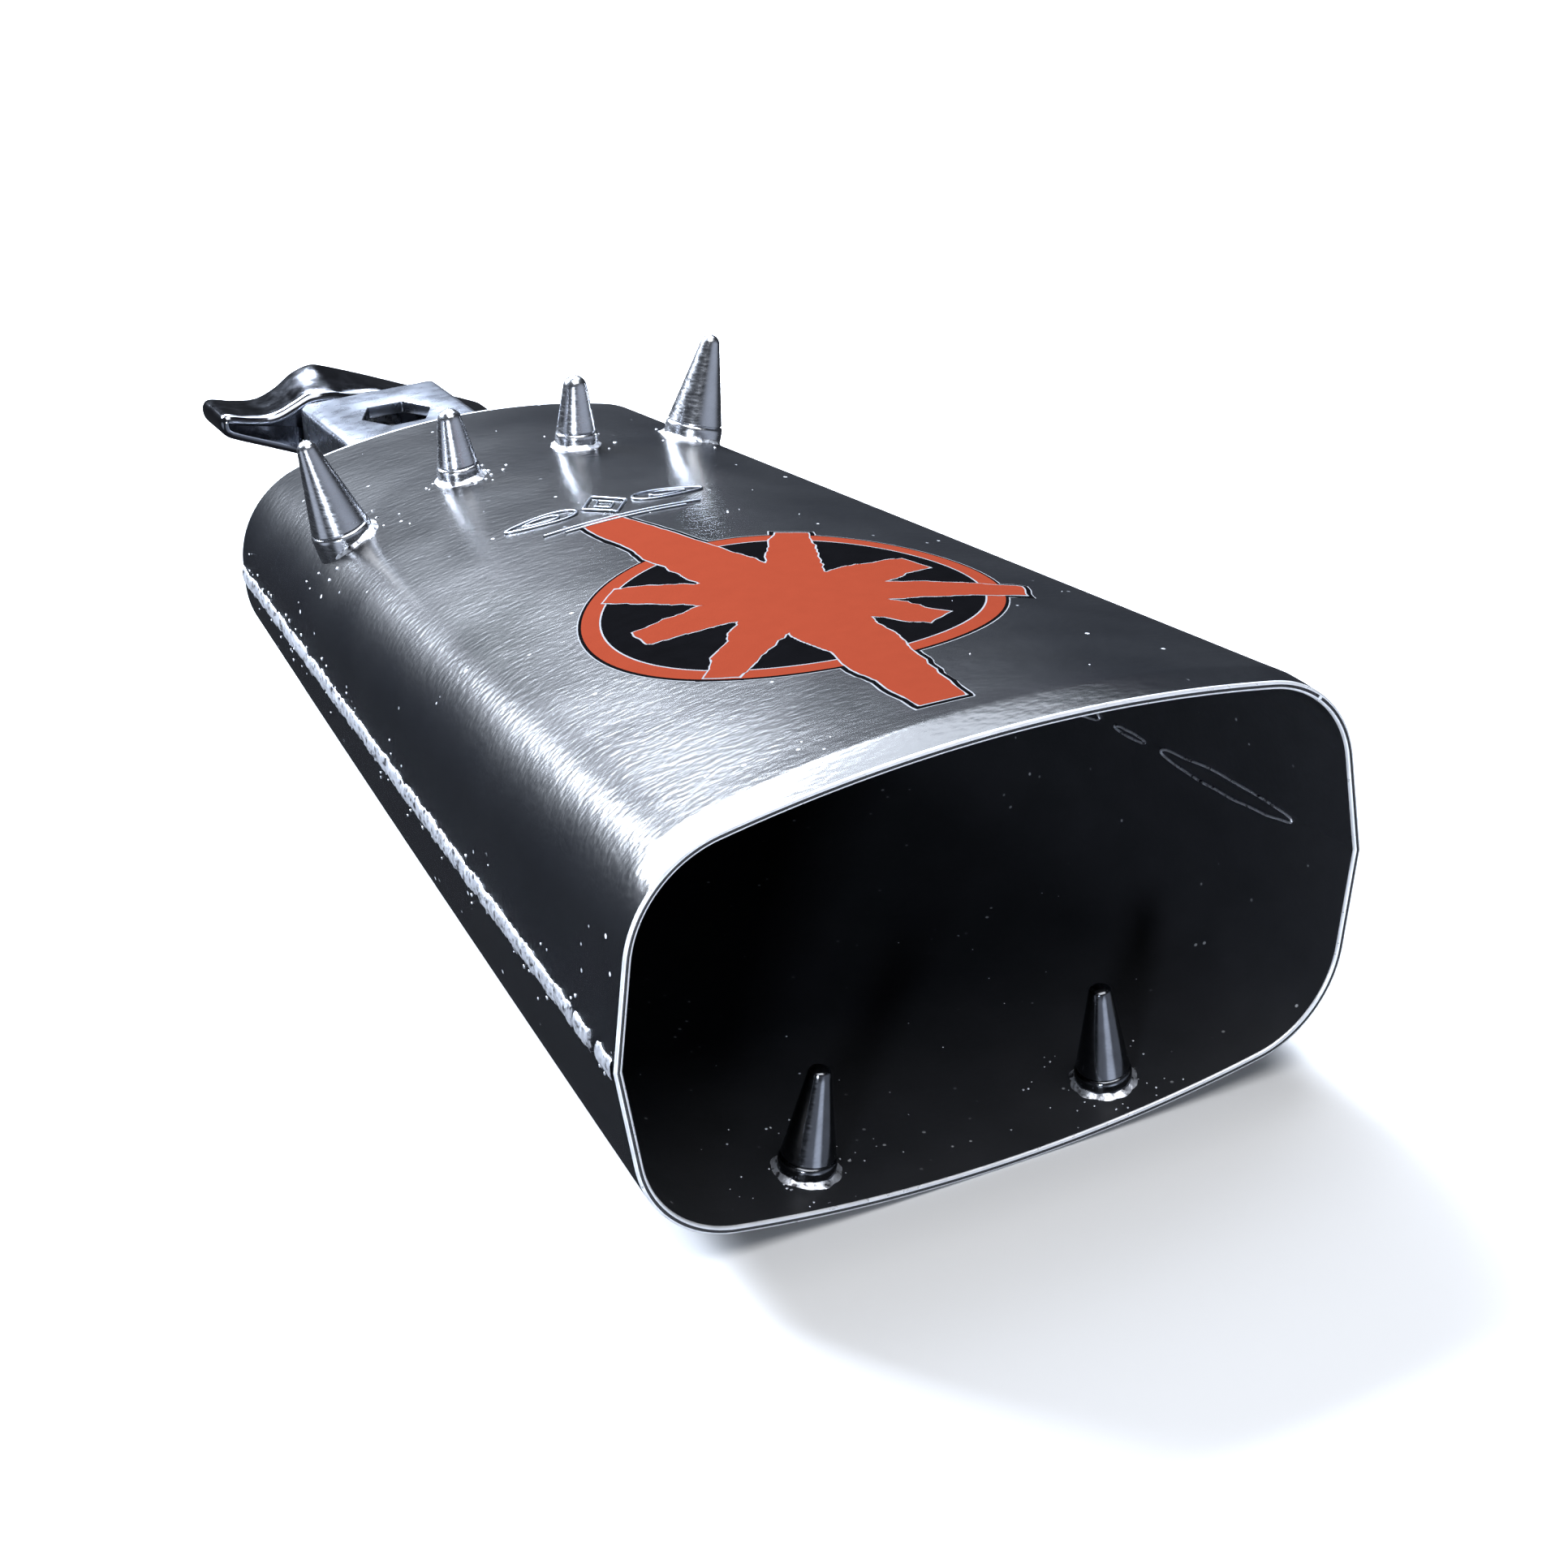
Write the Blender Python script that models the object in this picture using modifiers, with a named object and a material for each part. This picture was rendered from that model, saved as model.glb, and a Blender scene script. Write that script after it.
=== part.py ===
"""Rock cowbell: two pressed half shells welded along the sides, six spikes, and a rod clamp at the small end.

Bell frame, in which every piece is modelled: x across, y from the mouth (0) to the small end, z up from the
plane of the side seams. The bell tapers, so the empty "cowbell" pitches that frame until the underside lies
flat on z = 0, and centres the whole object on x = y = 0.
"""
from math import atan, atan2, cos, pi, radians, sin, sqrt, tan

import bmesh
import bpy
from mathutils import Vector

MM = 0.001                 # every dimension below is in millimetres

# ---- bell ----
LENGTH = 203.0             # mouth to rear rim, an 8 inch bell
WALL = 1.3                 # pressed sheet
GAP = 0.3                  # kept between pieces that touch
# Half sections: half width, half height, corner radius, inward lean of the side (rad), crown of the top
MOUTH_TOP = (63.7, 38.3, 18.9, 0.14, 9.7)
MOUTH_BOTTOM = (63.7, 36.5, 18.9, 0.14, 7.9)
REAR = (45.6, 22.8, 17.6, 0.04, 7.5)
LIP_LENGTH = 9.0           # the top half turns down over this length to make the striking lip
LIP_DROP = 1.8
SEAM_SLOT = 2.1            # slot between the halves, filled by the side welds
SEAM_WELD_RADIUS = 0.75
CROWN_INSET = 1.5          # rear face of the end plate, in from the rear rim
CROWN_THICKNESS = 1.5
CROWN_WELD_RADIUS = 0.6
FLAT_KEEL = 4.0            # half width of the flat strip along the middle of each half

# ---- spikes ----
LONG_SPIKE = {"length": 20.0, "foot": 5.5, "tip": 1.8}
SHORT_SPIKE = {"length": 13.5, "foot": 4.0, "tip": 2.2}
MOUTH_SPIKE = {"length": 18.0, "foot": 4.5, "tip": 1.7}
# name, x, y, lean in degrees (positive leans to +x), shape; each also stands square to the bell's taper
REAR_SPIKES = (
    ("outer_left", -39.8, 158.7, -15.5, LONG_SPIKE),
    ("inner_left", -14.7, 164.6, -4.0, SHORT_SPIKE),
    ("inner_right", 10.7, 168.9, 4.0, SHORT_SPIKE),
    ("outer_right", 35.9, 171.4, 17.5, LONG_SPIKE),
)
MOUTH_SPIKES = (
    ("left", -29.2, 10.3, 7.5),
    ("right", 23.1, 9.5, -5.5),
)
MOUTH_SPIKE_LIFT = 0.2      # extra room under the flat foot on the curved floor
SPIKE_SKIRT = 4.0          # how far a rear spike's blank runs below its foot before it is fitted to the bell
WELD_WIDTH = 1.7           # fillet round a spike's foot
WELD_HEIGHT = 1.5

# ---- rod clamp ----
BRACKET_WIDTH = 30.0
BRACKET_REAR = 250.0
BRACKET_TOP = 14.0
SCREW_HEIGHT = 5.3         # axis of the wing screw above the seam plane
BRACKET_WALL = 2.5
BRACKET_REAR_WALL = 3.0
BRACKET_ROUND = 2.4        # outer bend radius
BRACKET_WELD_RADIUS = 0.9
HEX_CENTRE = 234.5         # rod hole, two flats across the bell
HEX_RADIUS = 7.4           # to its corners
HEX_TURN = 30.0            # degrees, puts two corners on the bell's x axis
SCREW_RADIUS = 3.0         # M6
BORE_RADIUS = SCREW_RADIUS + GAP
BUSH_RADIUS = 5.0
BUSH_FLANGE_RADIUS = 5.8
BUSH_FLANGE_THICKNESS = 1.5
CAP_RADIUS = 4.75
CAP_FRONT = 235.2
CAP_LENGTH = 4.5
CAP_FLOOR = 1.7
WING_FRONT = 252.0
WING_DEPTH = 14.0
WING_SOCKET = 10.0
WING_EDGE = 1.2            # rounding of the casting's edges
# Upper side of the wing, from the left tip over the thumb trough and the hump; the lower side is its half turn
WING_TROUGH = ((-31.2, 6.0), (-29.0, 8.4), (-25.0, 7.5), (-20.0, 6.9), (-15.5, 8.4), (-11.5, 11.0),
               (-7.5, 12.2), (-4.0, 11.4))
WING_FAR_TIP = (29.8, -3.4)

# ---- derived ----
BRACKET_BOTTOM = 2.0 * SCREW_HEIGHT - BRACKET_TOP
CROWN_FACE = LENGTH - CROWN_INSET
BRACKET_FRONT = CROWN_FACE + GAP
PITCH = atan((MOUTH_BOTTOM[1] - REAR[1]) / LENGTH)
FRONT_Y = -MOUTH_BOTTOM[1] * sin(PITCH)
WING_CREST = SCREW_HEIGHT + max(z for _, z in WING_TROUGH)
REAR_Y = (WING_FRONT + WING_DEPTH) * cos(PITCH) + WING_CREST * sin(PITCH)
ALONG_SCREW = (-pi / 2.0, 0.0, 0.0)           # turns a piece's own z to the bell's +y

SIDE_POINTS, CORNER_POINTS, TOP_POINTS = 3, 7, 8
LIP_ROWS = (0.0, 0.15, 0.35, 0.6, 1.0)        # fractions of the lip's length that get a section
BODY_ROWS = (0.2, 0.4, 0.6, 0.8, 1.0)         # fractions of the bell's length


# ---- scene, materials, small helpers ----

def clear_scene():
    for obj in list(bpy.data.objects):
        bpy.data.objects.remove(obj, do_unlink=True)


def new_collection(name):
    collection = bpy.data.collections.new(name)
    bpy.context.scene.collection.children.link(collection)
    return collection


def material(name, colour, roughness, metallic):
    mat = bpy.data.materials.new(name)
    mat.use_nodes = True
    shader = mat.node_tree.nodes["Principled BSDF"]
    shader.inputs["Base Color"].default_value = (*colour, 1.0)
    shader.inputs["Roughness"].default_value = roughness
    shader.inputs["Metallic"].default_value = metallic
    mat.diffuse_color = (*colour, 1.0)
    return mat


def place(obj, look, collection, root, location=(0, 0, 0), rotation=(0, 0, 0)):
    """Give an object its material, collection, place in the bell frame (mm) and parent."""
    for other in list(obj.users_collection):
        other.objects.unlink(obj)
    collection.objects.link(obj)
    if look is not None:
        obj.data.materials.clear()
        obj.data.materials.append(look)
    obj.parent = root
    obj.location = Vector(location) * MM
    obj.rotation_euler = rotation
    return obj


def mesh_object(name, bm):
    mesh = bpy.data.meshes.new(name)
    bm.to_mesh(mesh)
    bm.free()
    mesh.shade_smooth()
    mesh.set_sharp_from_angle(angle=radians(35))
    return bpy.data.objects.new(name, mesh)


def boolean_cut(obj, cutter):
    cut = obj.modifiers.new("cut_" + cutter.name, "BOOLEAN")
    cut.operation = "DIFFERENCE"
    cut.solver = "EXACT"
    cut.object = cutter


def as_cutter(obj, cutters, root, location=(0, 0, 0), rotation=(0, 0, 0)):
    place(obj, None, cutters, root, location, rotation)
    obj.hide_render = True
    obj.display_type = "WIRE"
    return obj


def box(name, size, bevel=0.0, segments=3):
    bm = bmesh.new()
    bmesh.ops.create_cube(bm, size=1.0)
    bmesh.ops.scale(bm, vec=Vector(size) * MM, verts=bm.verts)
    obj = mesh_object(name, bm)
    if bevel:
        rounding = obj.modifiers.new("rounding", "BEVEL")
        rounding.width = bevel * MM
        rounding.segments = segments
    return obj


def prism(name, radius, depth, sides):
    bm = bmesh.new()
    bmesh.ops.create_cone(bm, cap_ends=True, segments=sides, radius1=radius * MM, radius2=radius * MM,
                          depth=depth * MM)
    return mesh_object(name, bm)


def turned(name, profile, steps):
    """A piece turned about z from a profile of (radius, height) that runs down its outer side."""
    bm = bmesh.new()
    verts = [bm.verts.new((r * MM, 0.0, z * MM)) for r, z in profile]
    for first, second in zip(verts, verts[1:]):
        bm.edges.new((first, second))
    obj = mesh_object(name, bm)
    screw = obj.modifiers.new("turn", "SCREW")
    screw.steps = steps
    screw.render_steps = steps
    screw.use_merge_vertices = True
    screw.merge_threshold = 0.00001
    screw.use_smooth_shade = True
    return obj


def closed_turned(name, profile, steps):
    """A turned ring or tube: the profile closes on itself."""
    return turned(name, list(profile) + [profile[0]], steps)


def bead(name, points, radius, closed):
    """A round weld bead along a line of points."""
    curve = bpy.data.curves.new(name, "CURVE")
    curve.dimensions = "3D"
    curve.bevel_depth = radius * MM
    curve.bevel_resolution = 1
    curve.use_fill_caps = not closed
    spline = curve.splines.new("POLY")
    spline.points.add(len(points) - 1)
    for slot, point in zip(spline.points, points):
        slot.co = (*(Vector(point) * MM), 1.0)
    spline.use_cyclic_u = closed
    return bpy.data.objects.new(name, curve)


# ---- the bell's sections ----

def mix(first, second, t):
    return tuple(a + (b - a) * t for a, b in zip(first, second))


def bell_section(y, upper):
    """Half section of the upper or lower shell at y. The lip lowers only the middle of the upper one."""
    width, height, corner, lean, crown = mix(MOUTH_TOP if upper else MOUTH_BOTTOM, REAR, y / LENGTH)
    if upper and y < LIP_LENGTH:
        drop = LIP_DROP * (1.0 - y / LIP_LENGTH) ** 1.6
        height, crown = height - drop, crown - drop
    return width, height, corner, lean, crown


def section_arcs(section):
    """Where the leaning side ends, and the corner and top arcs: tangent point, centres, radii and angles."""
    width, height, corner, lean, crown = section
    top_radius = (width ** 2 + crown ** 2) / (2.0 * crown)
    top_centre = Vector((0.0, height - top_radius))
    up_side = Vector((-sin(lean), cos(lean)))
    inward = Vector((-cos(lean), -sin(lean)))
    start = Vector((width, 0.0)) + corner * inward - top_centre
    along = start.dot(up_side)
    reach = -along + sqrt(along ** 2 - start.length_squared + (top_radius - corner) ** 2)
    side_end = Vector((width, 0.0)) + reach * up_side
    corner_centre = side_end + corner * inward
    radial = corner_centre - top_centre
    return side_end, corner_centre, top_centre, top_radius, atan2(radial.y, radial.x)


def quarter_outline(section, seam):
    """Points (x, z) from the seam edge up the side, round the corner and over to the middle of the top."""
    width, height, corner, lean, _ = section
    side_end, corner_centre, top_centre, top_radius, turn = section_arcs(section)
    seam_edge = Vector((width - seam * tan(lean), seam))
    points = [seam_edge.lerp(side_end, i / SIDE_POINTS) for i in range(SIDE_POINTS)]
    for i in range(CORNER_POINTS):
        angle = lean + (turn - lean) * i / CORNER_POINTS
        points.append(corner_centre + corner * Vector((cos(angle), sin(angle))))
    keel_angle = atan2(sqrt(top_radius ** 2 - FLAT_KEEL ** 2), FLAT_KEEL)
    for i in range(TOP_POINTS):
        angle = turn + (keel_angle - turn) * i / (TOP_POINTS - 1)
        points.append(top_centre + top_radius * Vector((cos(angle), sin(angle))))
    points[-1].y = height
    points.append(Vector((0.0, height)))
    return points


def inset_outline(points, distance):
    """The open outline moved inwards along its own normals."""
    moved = []
    for i, point in enumerate(points):
        before = points[max(i - 1, 0)]
        after = points[min(i + 1, len(points) - 1)]
        run = (after - before).normalized()
        moved.append(point + distance * Vector((-run.y, run.x)))
    return moved


def ring_outline(y, distance):
    """The whole outline of the bell at y, moved inwards by a distance, as (x, z) points in order."""
    quarter = inset_outline(quarter_outline(bell_section(y, False), 0.0), distance)
    right_top = [(p.x, p.y) for p in quarter]
    left_top = [(-x, z) for x, z in reversed(right_top[:-1])]
    top = right_top + left_top
    bottom = [(x, -z) for x, z in reversed(top[1:-1])]
    return top + bottom


def surface_height(x, y, upper, inside=False):
    """Height of the shell over (x, y), measured from the seam plane: outer face, or inner face if asked."""
    section = bell_section(y, upper)
    outline = quarter_outline(section, 0.0)
    if inside:
        outline = inset_outline(outline, WALL)
    for low, high in zip(outline, outline[1:]):
        if high.x <= abs(x) <= low.x and low.y > 0.0 and high.x < low.x:
            t = (abs(x) - low.x) / (high.x - low.x)
            return low.y + (high.y - low.y) * t
    raise ValueError("off the shell")


# ---- bell pieces ----

def half_shell(name, upper):
    """One half: a loft over the sections on the +x side, mirrored, then thickened inwards."""
    rows = [LIP_LENGTH * f for f in LIP_ROWS] + [LENGTH * f for f in BODY_ROWS]
    bm = bmesh.new()
    grid = []
    side = 1.0 if upper else -1.0
    for y in rows:
        outline = quarter_outline(bell_section(y, upper), SEAM_SLOT / 2.0)
        grid.append([bm.verts.new((p.x * MM, y * MM, side * p.y * MM)) for p in outline])
    for near, far in zip(grid, grid[1:]):
        for i in range(len(near) - 1):
            quad = (near[i], far[i], far[i + 1], near[i + 1])
            bm.faces.new(quad if upper else quad[::-1])
    obj = mesh_object(name, bm)
    mirror = obj.modifiers.new("other_side", "MIRROR")
    mirror.use_axis = (True, False, False)
    mirror.use_clip = True
    mirror.merge_threshold = 0.00001
    sheet = obj.modifiers.new("sheet", "SOLIDIFY")
    sheet.thickness = WALL * MM
    sheet.offset = -1.0
    sheet.use_even_offset = True
    return obj


def flat_plate(name, outline, thickness):
    """A plate standing across the bell: its outline is (x, z), its thickness lies along y."""
    curve = bpy.data.curves.new(name, "CURVE")
    curve.dimensions = "2D"
    curve.fill_mode = "BOTH"
    curve.extrude = thickness / 2.0 * MM
    spline = curve.splines.new("POLY")
    spline.points.add(len(outline) - 1)
    for slot, (x, z) in zip(spline.points, outline):
        slot.co = (x * MM, z * MM, 0.0, 1.0)
    spline.use_cyclic_u = True
    return bpy.data.objects.new(name, curve)


def seam_weld(name, side):
    """A bead that fills the slot between the halves and stands a little proud of them."""
    points = []
    steps = 8
    for i in range(steps + 1):
        y = 2.0 + (LENGTH - 3.0) * i / steps
        width = bell_section(y, True)[0]
        points.append((side * (width - 0.35), y, 0.0))
    return bead(name, points, SEAM_WELD_RADIUS, closed=False)


def bell_cutter(name):
    """The solid of the bell's outside, grown by the gap, that fits spikes and fillets to the curved top."""
    bm = bmesh.new()
    rings = []
    for y in (LENGTH * 0.7, LENGTH * 0.95):
        rings.append([bm.verts.new((x * MM, y * MM, z * MM)) for x, z in ring_outline_upper(y, -GAP)])
    count = len(rings[0])
    for i in range(count):
        j = (i + 1) % count
        bm.faces.new((rings[0][i], rings[1][i], rings[1][j], rings[0][j]))
    bm.faces.new(rings[0])
    bm.faces.new(rings[1][::-1])
    bmesh.ops.recalc_face_normals(bm, faces=bm.faces)
    return mesh_object(name, bm)


def ring_outline_upper(y, distance):
    """The upper shell's outline at y, closed along a flat floor at the seam plane."""
    quarter = inset_outline(quarter_outline(bell_section(y, True), 0.0), distance)
    right = [(p.x, p.y) for p in quarter]
    return right + [(-x, z) for x, z in reversed(right[:-1])]


# ---- spikes ----

def spike_profile(shape, skirt):
    """Round tip, straight cone, a short collar at the foot, and a skirt below it."""
    length, foot, tip = shape["length"], shape["foot"], shape["tip"]
    points = []
    for i in range(6):
        angle = pi / 2.0 * (1.0 - i / 5.0)
        points.append((tip * cos(angle), length - tip + tip * sin(angle)))
    points[0] = (0.0, length)
    points += [(foot, 1.6), (foot, -skirt), (0.0, -skirt)]
    return points


def fillet_profile(foot, skirt):
    """Weld fillet: hollow slope from the spike's collar out to the sheet, then down below the foot."""
    inner = foot + GAP
    points = [(inner, WELD_HEIGHT), (inner + 0.35 * WELD_WIDTH, 0.62 * WELD_HEIGHT),
              (inner + WELD_WIDTH, 0.25 * WELD_HEIGHT), (inner + WELD_WIDTH, -skirt), (inner, -skirt)]
    return points


def add_rear_spikes(looks, parts, cutters, root):
    cutter = as_cutter(bell_cutter("bell_outside"), cutters, root)
    taper = atan((MOUTH_TOP[1] - REAR[1]) / LENGTH)
    for name, x, y, tilt, shape in REAR_SPIKES:
        spot = (x, y, surface_height(x, y, True))
        lean = (-taper, radians(tilt), 0.0)
        spike = turned("rear_spike_" + name, spike_profile(shape, SPIKE_SKIRT), 24)
        place(spike, looks["spike"], parts, root, spot, lean)
        boolean_cut(spike, cutter)
        fillet = closed_turned("rear_spike_weld_" + name, fillet_profile(shape["foot"], SPIKE_SKIRT), 24)
        place(fillet, looks["weld"], parts, root, spot, lean)
        boolean_cut(fillet, cutter)


def add_mouth_spikes(looks, parts, root):
    for name, x, y, tilt in MOUTH_SPIKES:
        floor = -surface_height(x, y, False, inside=True) + GAP + MOUTH_SPIKE_LIFT
        lean = (PITCH, radians(tilt), 0.0)
        spike = turned("mouth_spike_" + name, spike_profile(MOUTH_SPIKE, 0.0), 24)
        place(spike, looks["spike"], parts, root, (x, y, floor), lean)
        fillet = closed_turned("mouth_spike_weld_" + name, fillet_profile(MOUTH_SPIKE["foot"], 0.0), 24)
        place(fillet, looks["weld"], parts, root, (x, y, floor), lean)


# ---- rod clamp ----

def add_bracket(looks, parts, cutters, root):
    length = BRACKET_REAR - BRACKET_FRONT
    height = BRACKET_TOP - BRACKET_BOTTOM
    bracket = box("clamp_bracket", (BRACKET_WIDTH, length, height), bevel=BRACKET_ROUND)
    centre = (0.0, BRACKET_FRONT + length / 2.0, SCREW_HEIGHT)
    place(bracket, looks["bracket"], parts, root, centre)

    inside_length = length - BRACKET_REAR_WALL + BRACKET_WALL
    inside = box("bracket_inside", (BRACKET_WIDTH - 2 * BRACKET_WALL, inside_length,
                                    height - 2 * BRACKET_WALL), bevel=0.8, segments=2)
    inside_y = BRACKET_REAR - BRACKET_REAR_WALL - inside_length / 2.0
    boolean_cut(bracket, as_cutter(inside, cutters, root, (0.0, inside_y, SCREW_HEIGHT)))

    rod_hole = as_cutter(prism("rod_hole", HEX_RADIUS, 2.0 * height, 6), cutters, root,
                         (0.0, HEX_CENTRE, SCREW_HEIGHT), (0.0, 0.0, radians(HEX_TURN)))
    boolean_cut(bracket, rod_hole)
    bush_hole = as_cutter(prism("bush_hole", BUSH_RADIUS + GAP, 12.0, 32), cutters, root,
                          (0.0, BRACKET_REAR, SCREW_HEIGHT), (pi / 2.0, 0.0, 0.0))
    boolean_cut(bracket, bush_hole)

    half_width = BRACKET_WIDTH / 2.0 + GAP + BRACKET_WELD_RADIUS
    half_height = height / 2.0 + GAP + BRACKET_WELD_RADIUS
    weld_y = CROWN_FACE + GAP + BRACKET_WELD_RADIUS
    corners = []
    for turn, sx, sz in ((0, 1, 1), (1, -1, 1), (2, -1, -1), (3, 1, -1)):
        for i in range(4):
            angle = pi / 2.0 * (turn + i / 3.0)
            corners.append((sx * (half_width - BRACKET_ROUND) + BRACKET_ROUND * cos(angle), weld_y,
                            SCREW_HEIGHT + sz * (half_height - BRACKET_ROUND) + BRACKET_ROUND * sin(angle)))
    weld = bead("bracket_weld", corners, BRACKET_WELD_RADIUS, closed=True)
    place(weld, looks["weld"], parts, root)


def add_bush(looks, parts, root):
    """Flanged bush: local z runs along the screw towards the wing, from the flange's face at 0."""
    length = BUSH_FLANGE_THICKNESS + GAP + BRACKET_REAR_WALL
    profile = [(BORE_RADIUS, length), (BUSH_RADIUS, length), (BUSH_RADIUS, BUSH_FLANGE_THICKNESS),
               (BUSH_FLANGE_RADIUS, BUSH_FLANGE_THICKNESS), (BUSH_FLANGE_RADIUS, 0.0), (BORE_RADIUS, 0.0)]
    bush = closed_turned("clamp_bush", profile, 32)
    place(bush, looks["zinc"], parts, root, (0.0, BRACKET_REAR - length, SCREW_HEIGHT), ALONG_SCREW)


def add_cap(looks, parts, root):
    axis = bpy.data.objects.new("clamp_travel_axis", None)
    place_empty(axis, parts, root, (0.0, CAP_FRONT, SCREW_HEIGHT), ALONG_SCREW)
    rim = 0.5
    profile = [(0.0, CAP_FLOOR), (BORE_RADIUS, CAP_FLOOR), (BORE_RADIUS, CAP_LENGTH), (CAP_RADIUS, CAP_LENGTH),
               (CAP_RADIUS, rim), (CAP_RADIUS - rim, 0.0), (0.0, 0.0)]
    cap = turned("clamp_cap", profile, 32)
    place(cap, looks["zinc"], parts, axis)


def place_empty(empty, parts, root, location, rotation):
    parts.objects.link(empty)
    empty.parent = root
    empty.location = Vector(location) * MM
    empty.rotation_euler = rotation
    empty.empty_display_size = 0.01


def add_wing_screw(looks, parts, cutters, root):
    """The screw and its wing share an empty on the screw's axis, at the wing's front face."""
    axis = bpy.data.objects.new("wing_turn_axis", None)
    place_empty(axis, parts, root, (0.0, WING_FRONT, SCREW_HEIGHT), ALONG_SCREW)

    front = CAP_FRONT + CAP_FLOOR + GAP - WING_FRONT
    back = WING_SOCKET - GAP
    chamfer = 0.6
    profile = [(0.0, back), (SCREW_RADIUS, back), (SCREW_RADIUS, front + chamfer),
               (SCREW_RADIUS - chamfer, front), (0.0, front)]
    place(turned("clamp_screw", profile, 32), looks["zinc"], parts, axis)

    wing = solid_from_curve(wing_curve())
    # the outline is drawn in (x, z) of the bell, and a half turn about x stands it upright on the screw's axis
    place(wing, looks["wing"], parts, axis, (0.0, 0.0, WING_DEPTH / 2.0), (pi, 0.0, 0.0))
    socket = as_cutter(prism("wing_socket", BORE_RADIUS, 2.0 * WING_SOCKET, 32), cutters, axis)
    boolean_cut(wing, socket)


def wing_curve():
    """S-shaped casting: an upper chain of points and its half turn, extruded along the screw."""
    curve = bpy.data.curves.new("wing_handle", "CURVE")
    curve.dimensions = "2D"
    curve.fill_mode = "BOTH"
    curve.resolution_u = 4
    curve.extrude = (WING_DEPTH / 2.0 - WING_EDGE) * MM
    curve.bevel_depth = WING_EDGE * MM
    curve.bevel_resolution = 1
    curve.offset = -WING_EDGE * MM
    upper = [*WING_TROUGH, WING_FAR_TIP]
    points = upper + [(-x, -z) for x, z in upper]
    spline = curve.splines.new("BEZIER")
    spline.bezier_points.add(len(points) - 1)
    straight_from = len(WING_TROUGH) - 1
    for i, (slot, (x, z)) in enumerate(zip(spline.bezier_points, points)):
        slot.co = (x * MM, z * MM, 0.0)
        slot.handle_left_type = "AUTO"
        slot.handle_right_type = "AUTO"
        place_in_chain = i % len(upper)
        if place_in_chain == straight_from:
            slot.handle_right_type = "VECTOR"
        if place_in_chain == straight_from + 1:
            slot.handle_left_type = "VECTOR"
    spline.use_cyclic_u = True
    return bpy.data.objects.new("wing_handle", curve)


def solid_from_curve(curve_object):
    """The curve's solid as a closed mesh, so that it can be cut."""
    name = curve_object.name
    bpy.context.scene.collection.objects.link(curve_object)
    bpy.context.view_layer.update()
    shape = curve_object.evaluated_get(bpy.context.evaluated_depsgraph_get())
    mesh = bpy.data.meshes.new_from_object(shape)
    bm = bmesh.new()
    bm.from_mesh(mesh)
    bmesh.ops.remove_doubles(bm, verts=bm.verts, dist=0.00001)
    bm.to_mesh(mesh)
    bm.free()
    solid = bpy.data.objects.new(name + "_solid", mesh)
    solid.matrix_world = curve_object.matrix_world
    bpy.data.objects.remove(curve_object, do_unlink=True)
    solid.name = name
    mesh.shade_smooth()
    mesh.set_sharp_from_angle(angle=radians(35))
    return solid


def build():
    clear_scene()
    parts = new_collection("cowbell_parts")
    cutters = new_collection("cutters")
    root = bpy.data.objects.new("cowbell", None)
    parts.objects.link(root)
    root.rotation_euler = (-PITCH, 0.0, 0.0)
    root.location = Vector((0.0, -(FRONT_Y + REAR_Y) / 2.0, MOUTH_BOTTOM[1] * cos(PITCH))) * MM

    looks = {
        "shell": material("black_satin_paint", (0.012, 0.013, 0.015), 0.35, 0.0),
        "weld": material("bare_weld_metal", (0.42, 0.43, 0.45), 0.38, 1.0),
        "spike": material("dark_chrome", (0.20, 0.21, 0.23), 0.18, 1.0),
        "bracket": material("satin_steel", (0.33, 0.35, 0.39), 0.34, 1.0),
        "zinc": material("zinc_plate", (0.50, 0.51, 0.53), 0.30, 1.0),
        "wing": material("black_nickel", (0.10, 0.11, 0.12), 0.10, 1.0),
    }

    place(half_shell("top_shell", True), looks["shell"], parts, root)
    place(half_shell("bottom_shell", False), looks["shell"], parts, root)

    crown = flat_plate("crown_plate", ring_outline(LENGTH, WALL + GAP), CROWN_THICKNESS)
    place(crown, looks["shell"], parts, root, (0.0, CROWN_FACE - CROWN_THICKNESS / 2.0, 0.0),
          (pi / 2.0, 0.0, 0.0))
    weld_y = CROWN_FACE + GAP + CROWN_WELD_RADIUS
    ring = ring_outline(LENGTH, WALL + GAP + CROWN_WELD_RADIUS)
    crown_weld = bead("crown_weld", [(x, weld_y, z) for x, z in ring], CROWN_WELD_RADIUS, closed=True)
    place(crown_weld, looks["weld"], parts, root)

    place(seam_weld("seam_weld_left", -1.0), looks["weld"], parts, root)
    place(seam_weld("seam_weld_right", 1.0), looks["weld"], parts, root)

    add_rear_spikes(looks, parts, cutters, root)
    add_mouth_spikes(looks, parts, root)
    add_bracket(looks, parts, cutters, root)
    add_bush(looks, parts, root)
    add_cap(looks, parts, root)
    add_wing_screw(looks, parts, cutters, root)


build()
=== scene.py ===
"""Looks of the rock cowbell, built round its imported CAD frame."""

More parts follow.
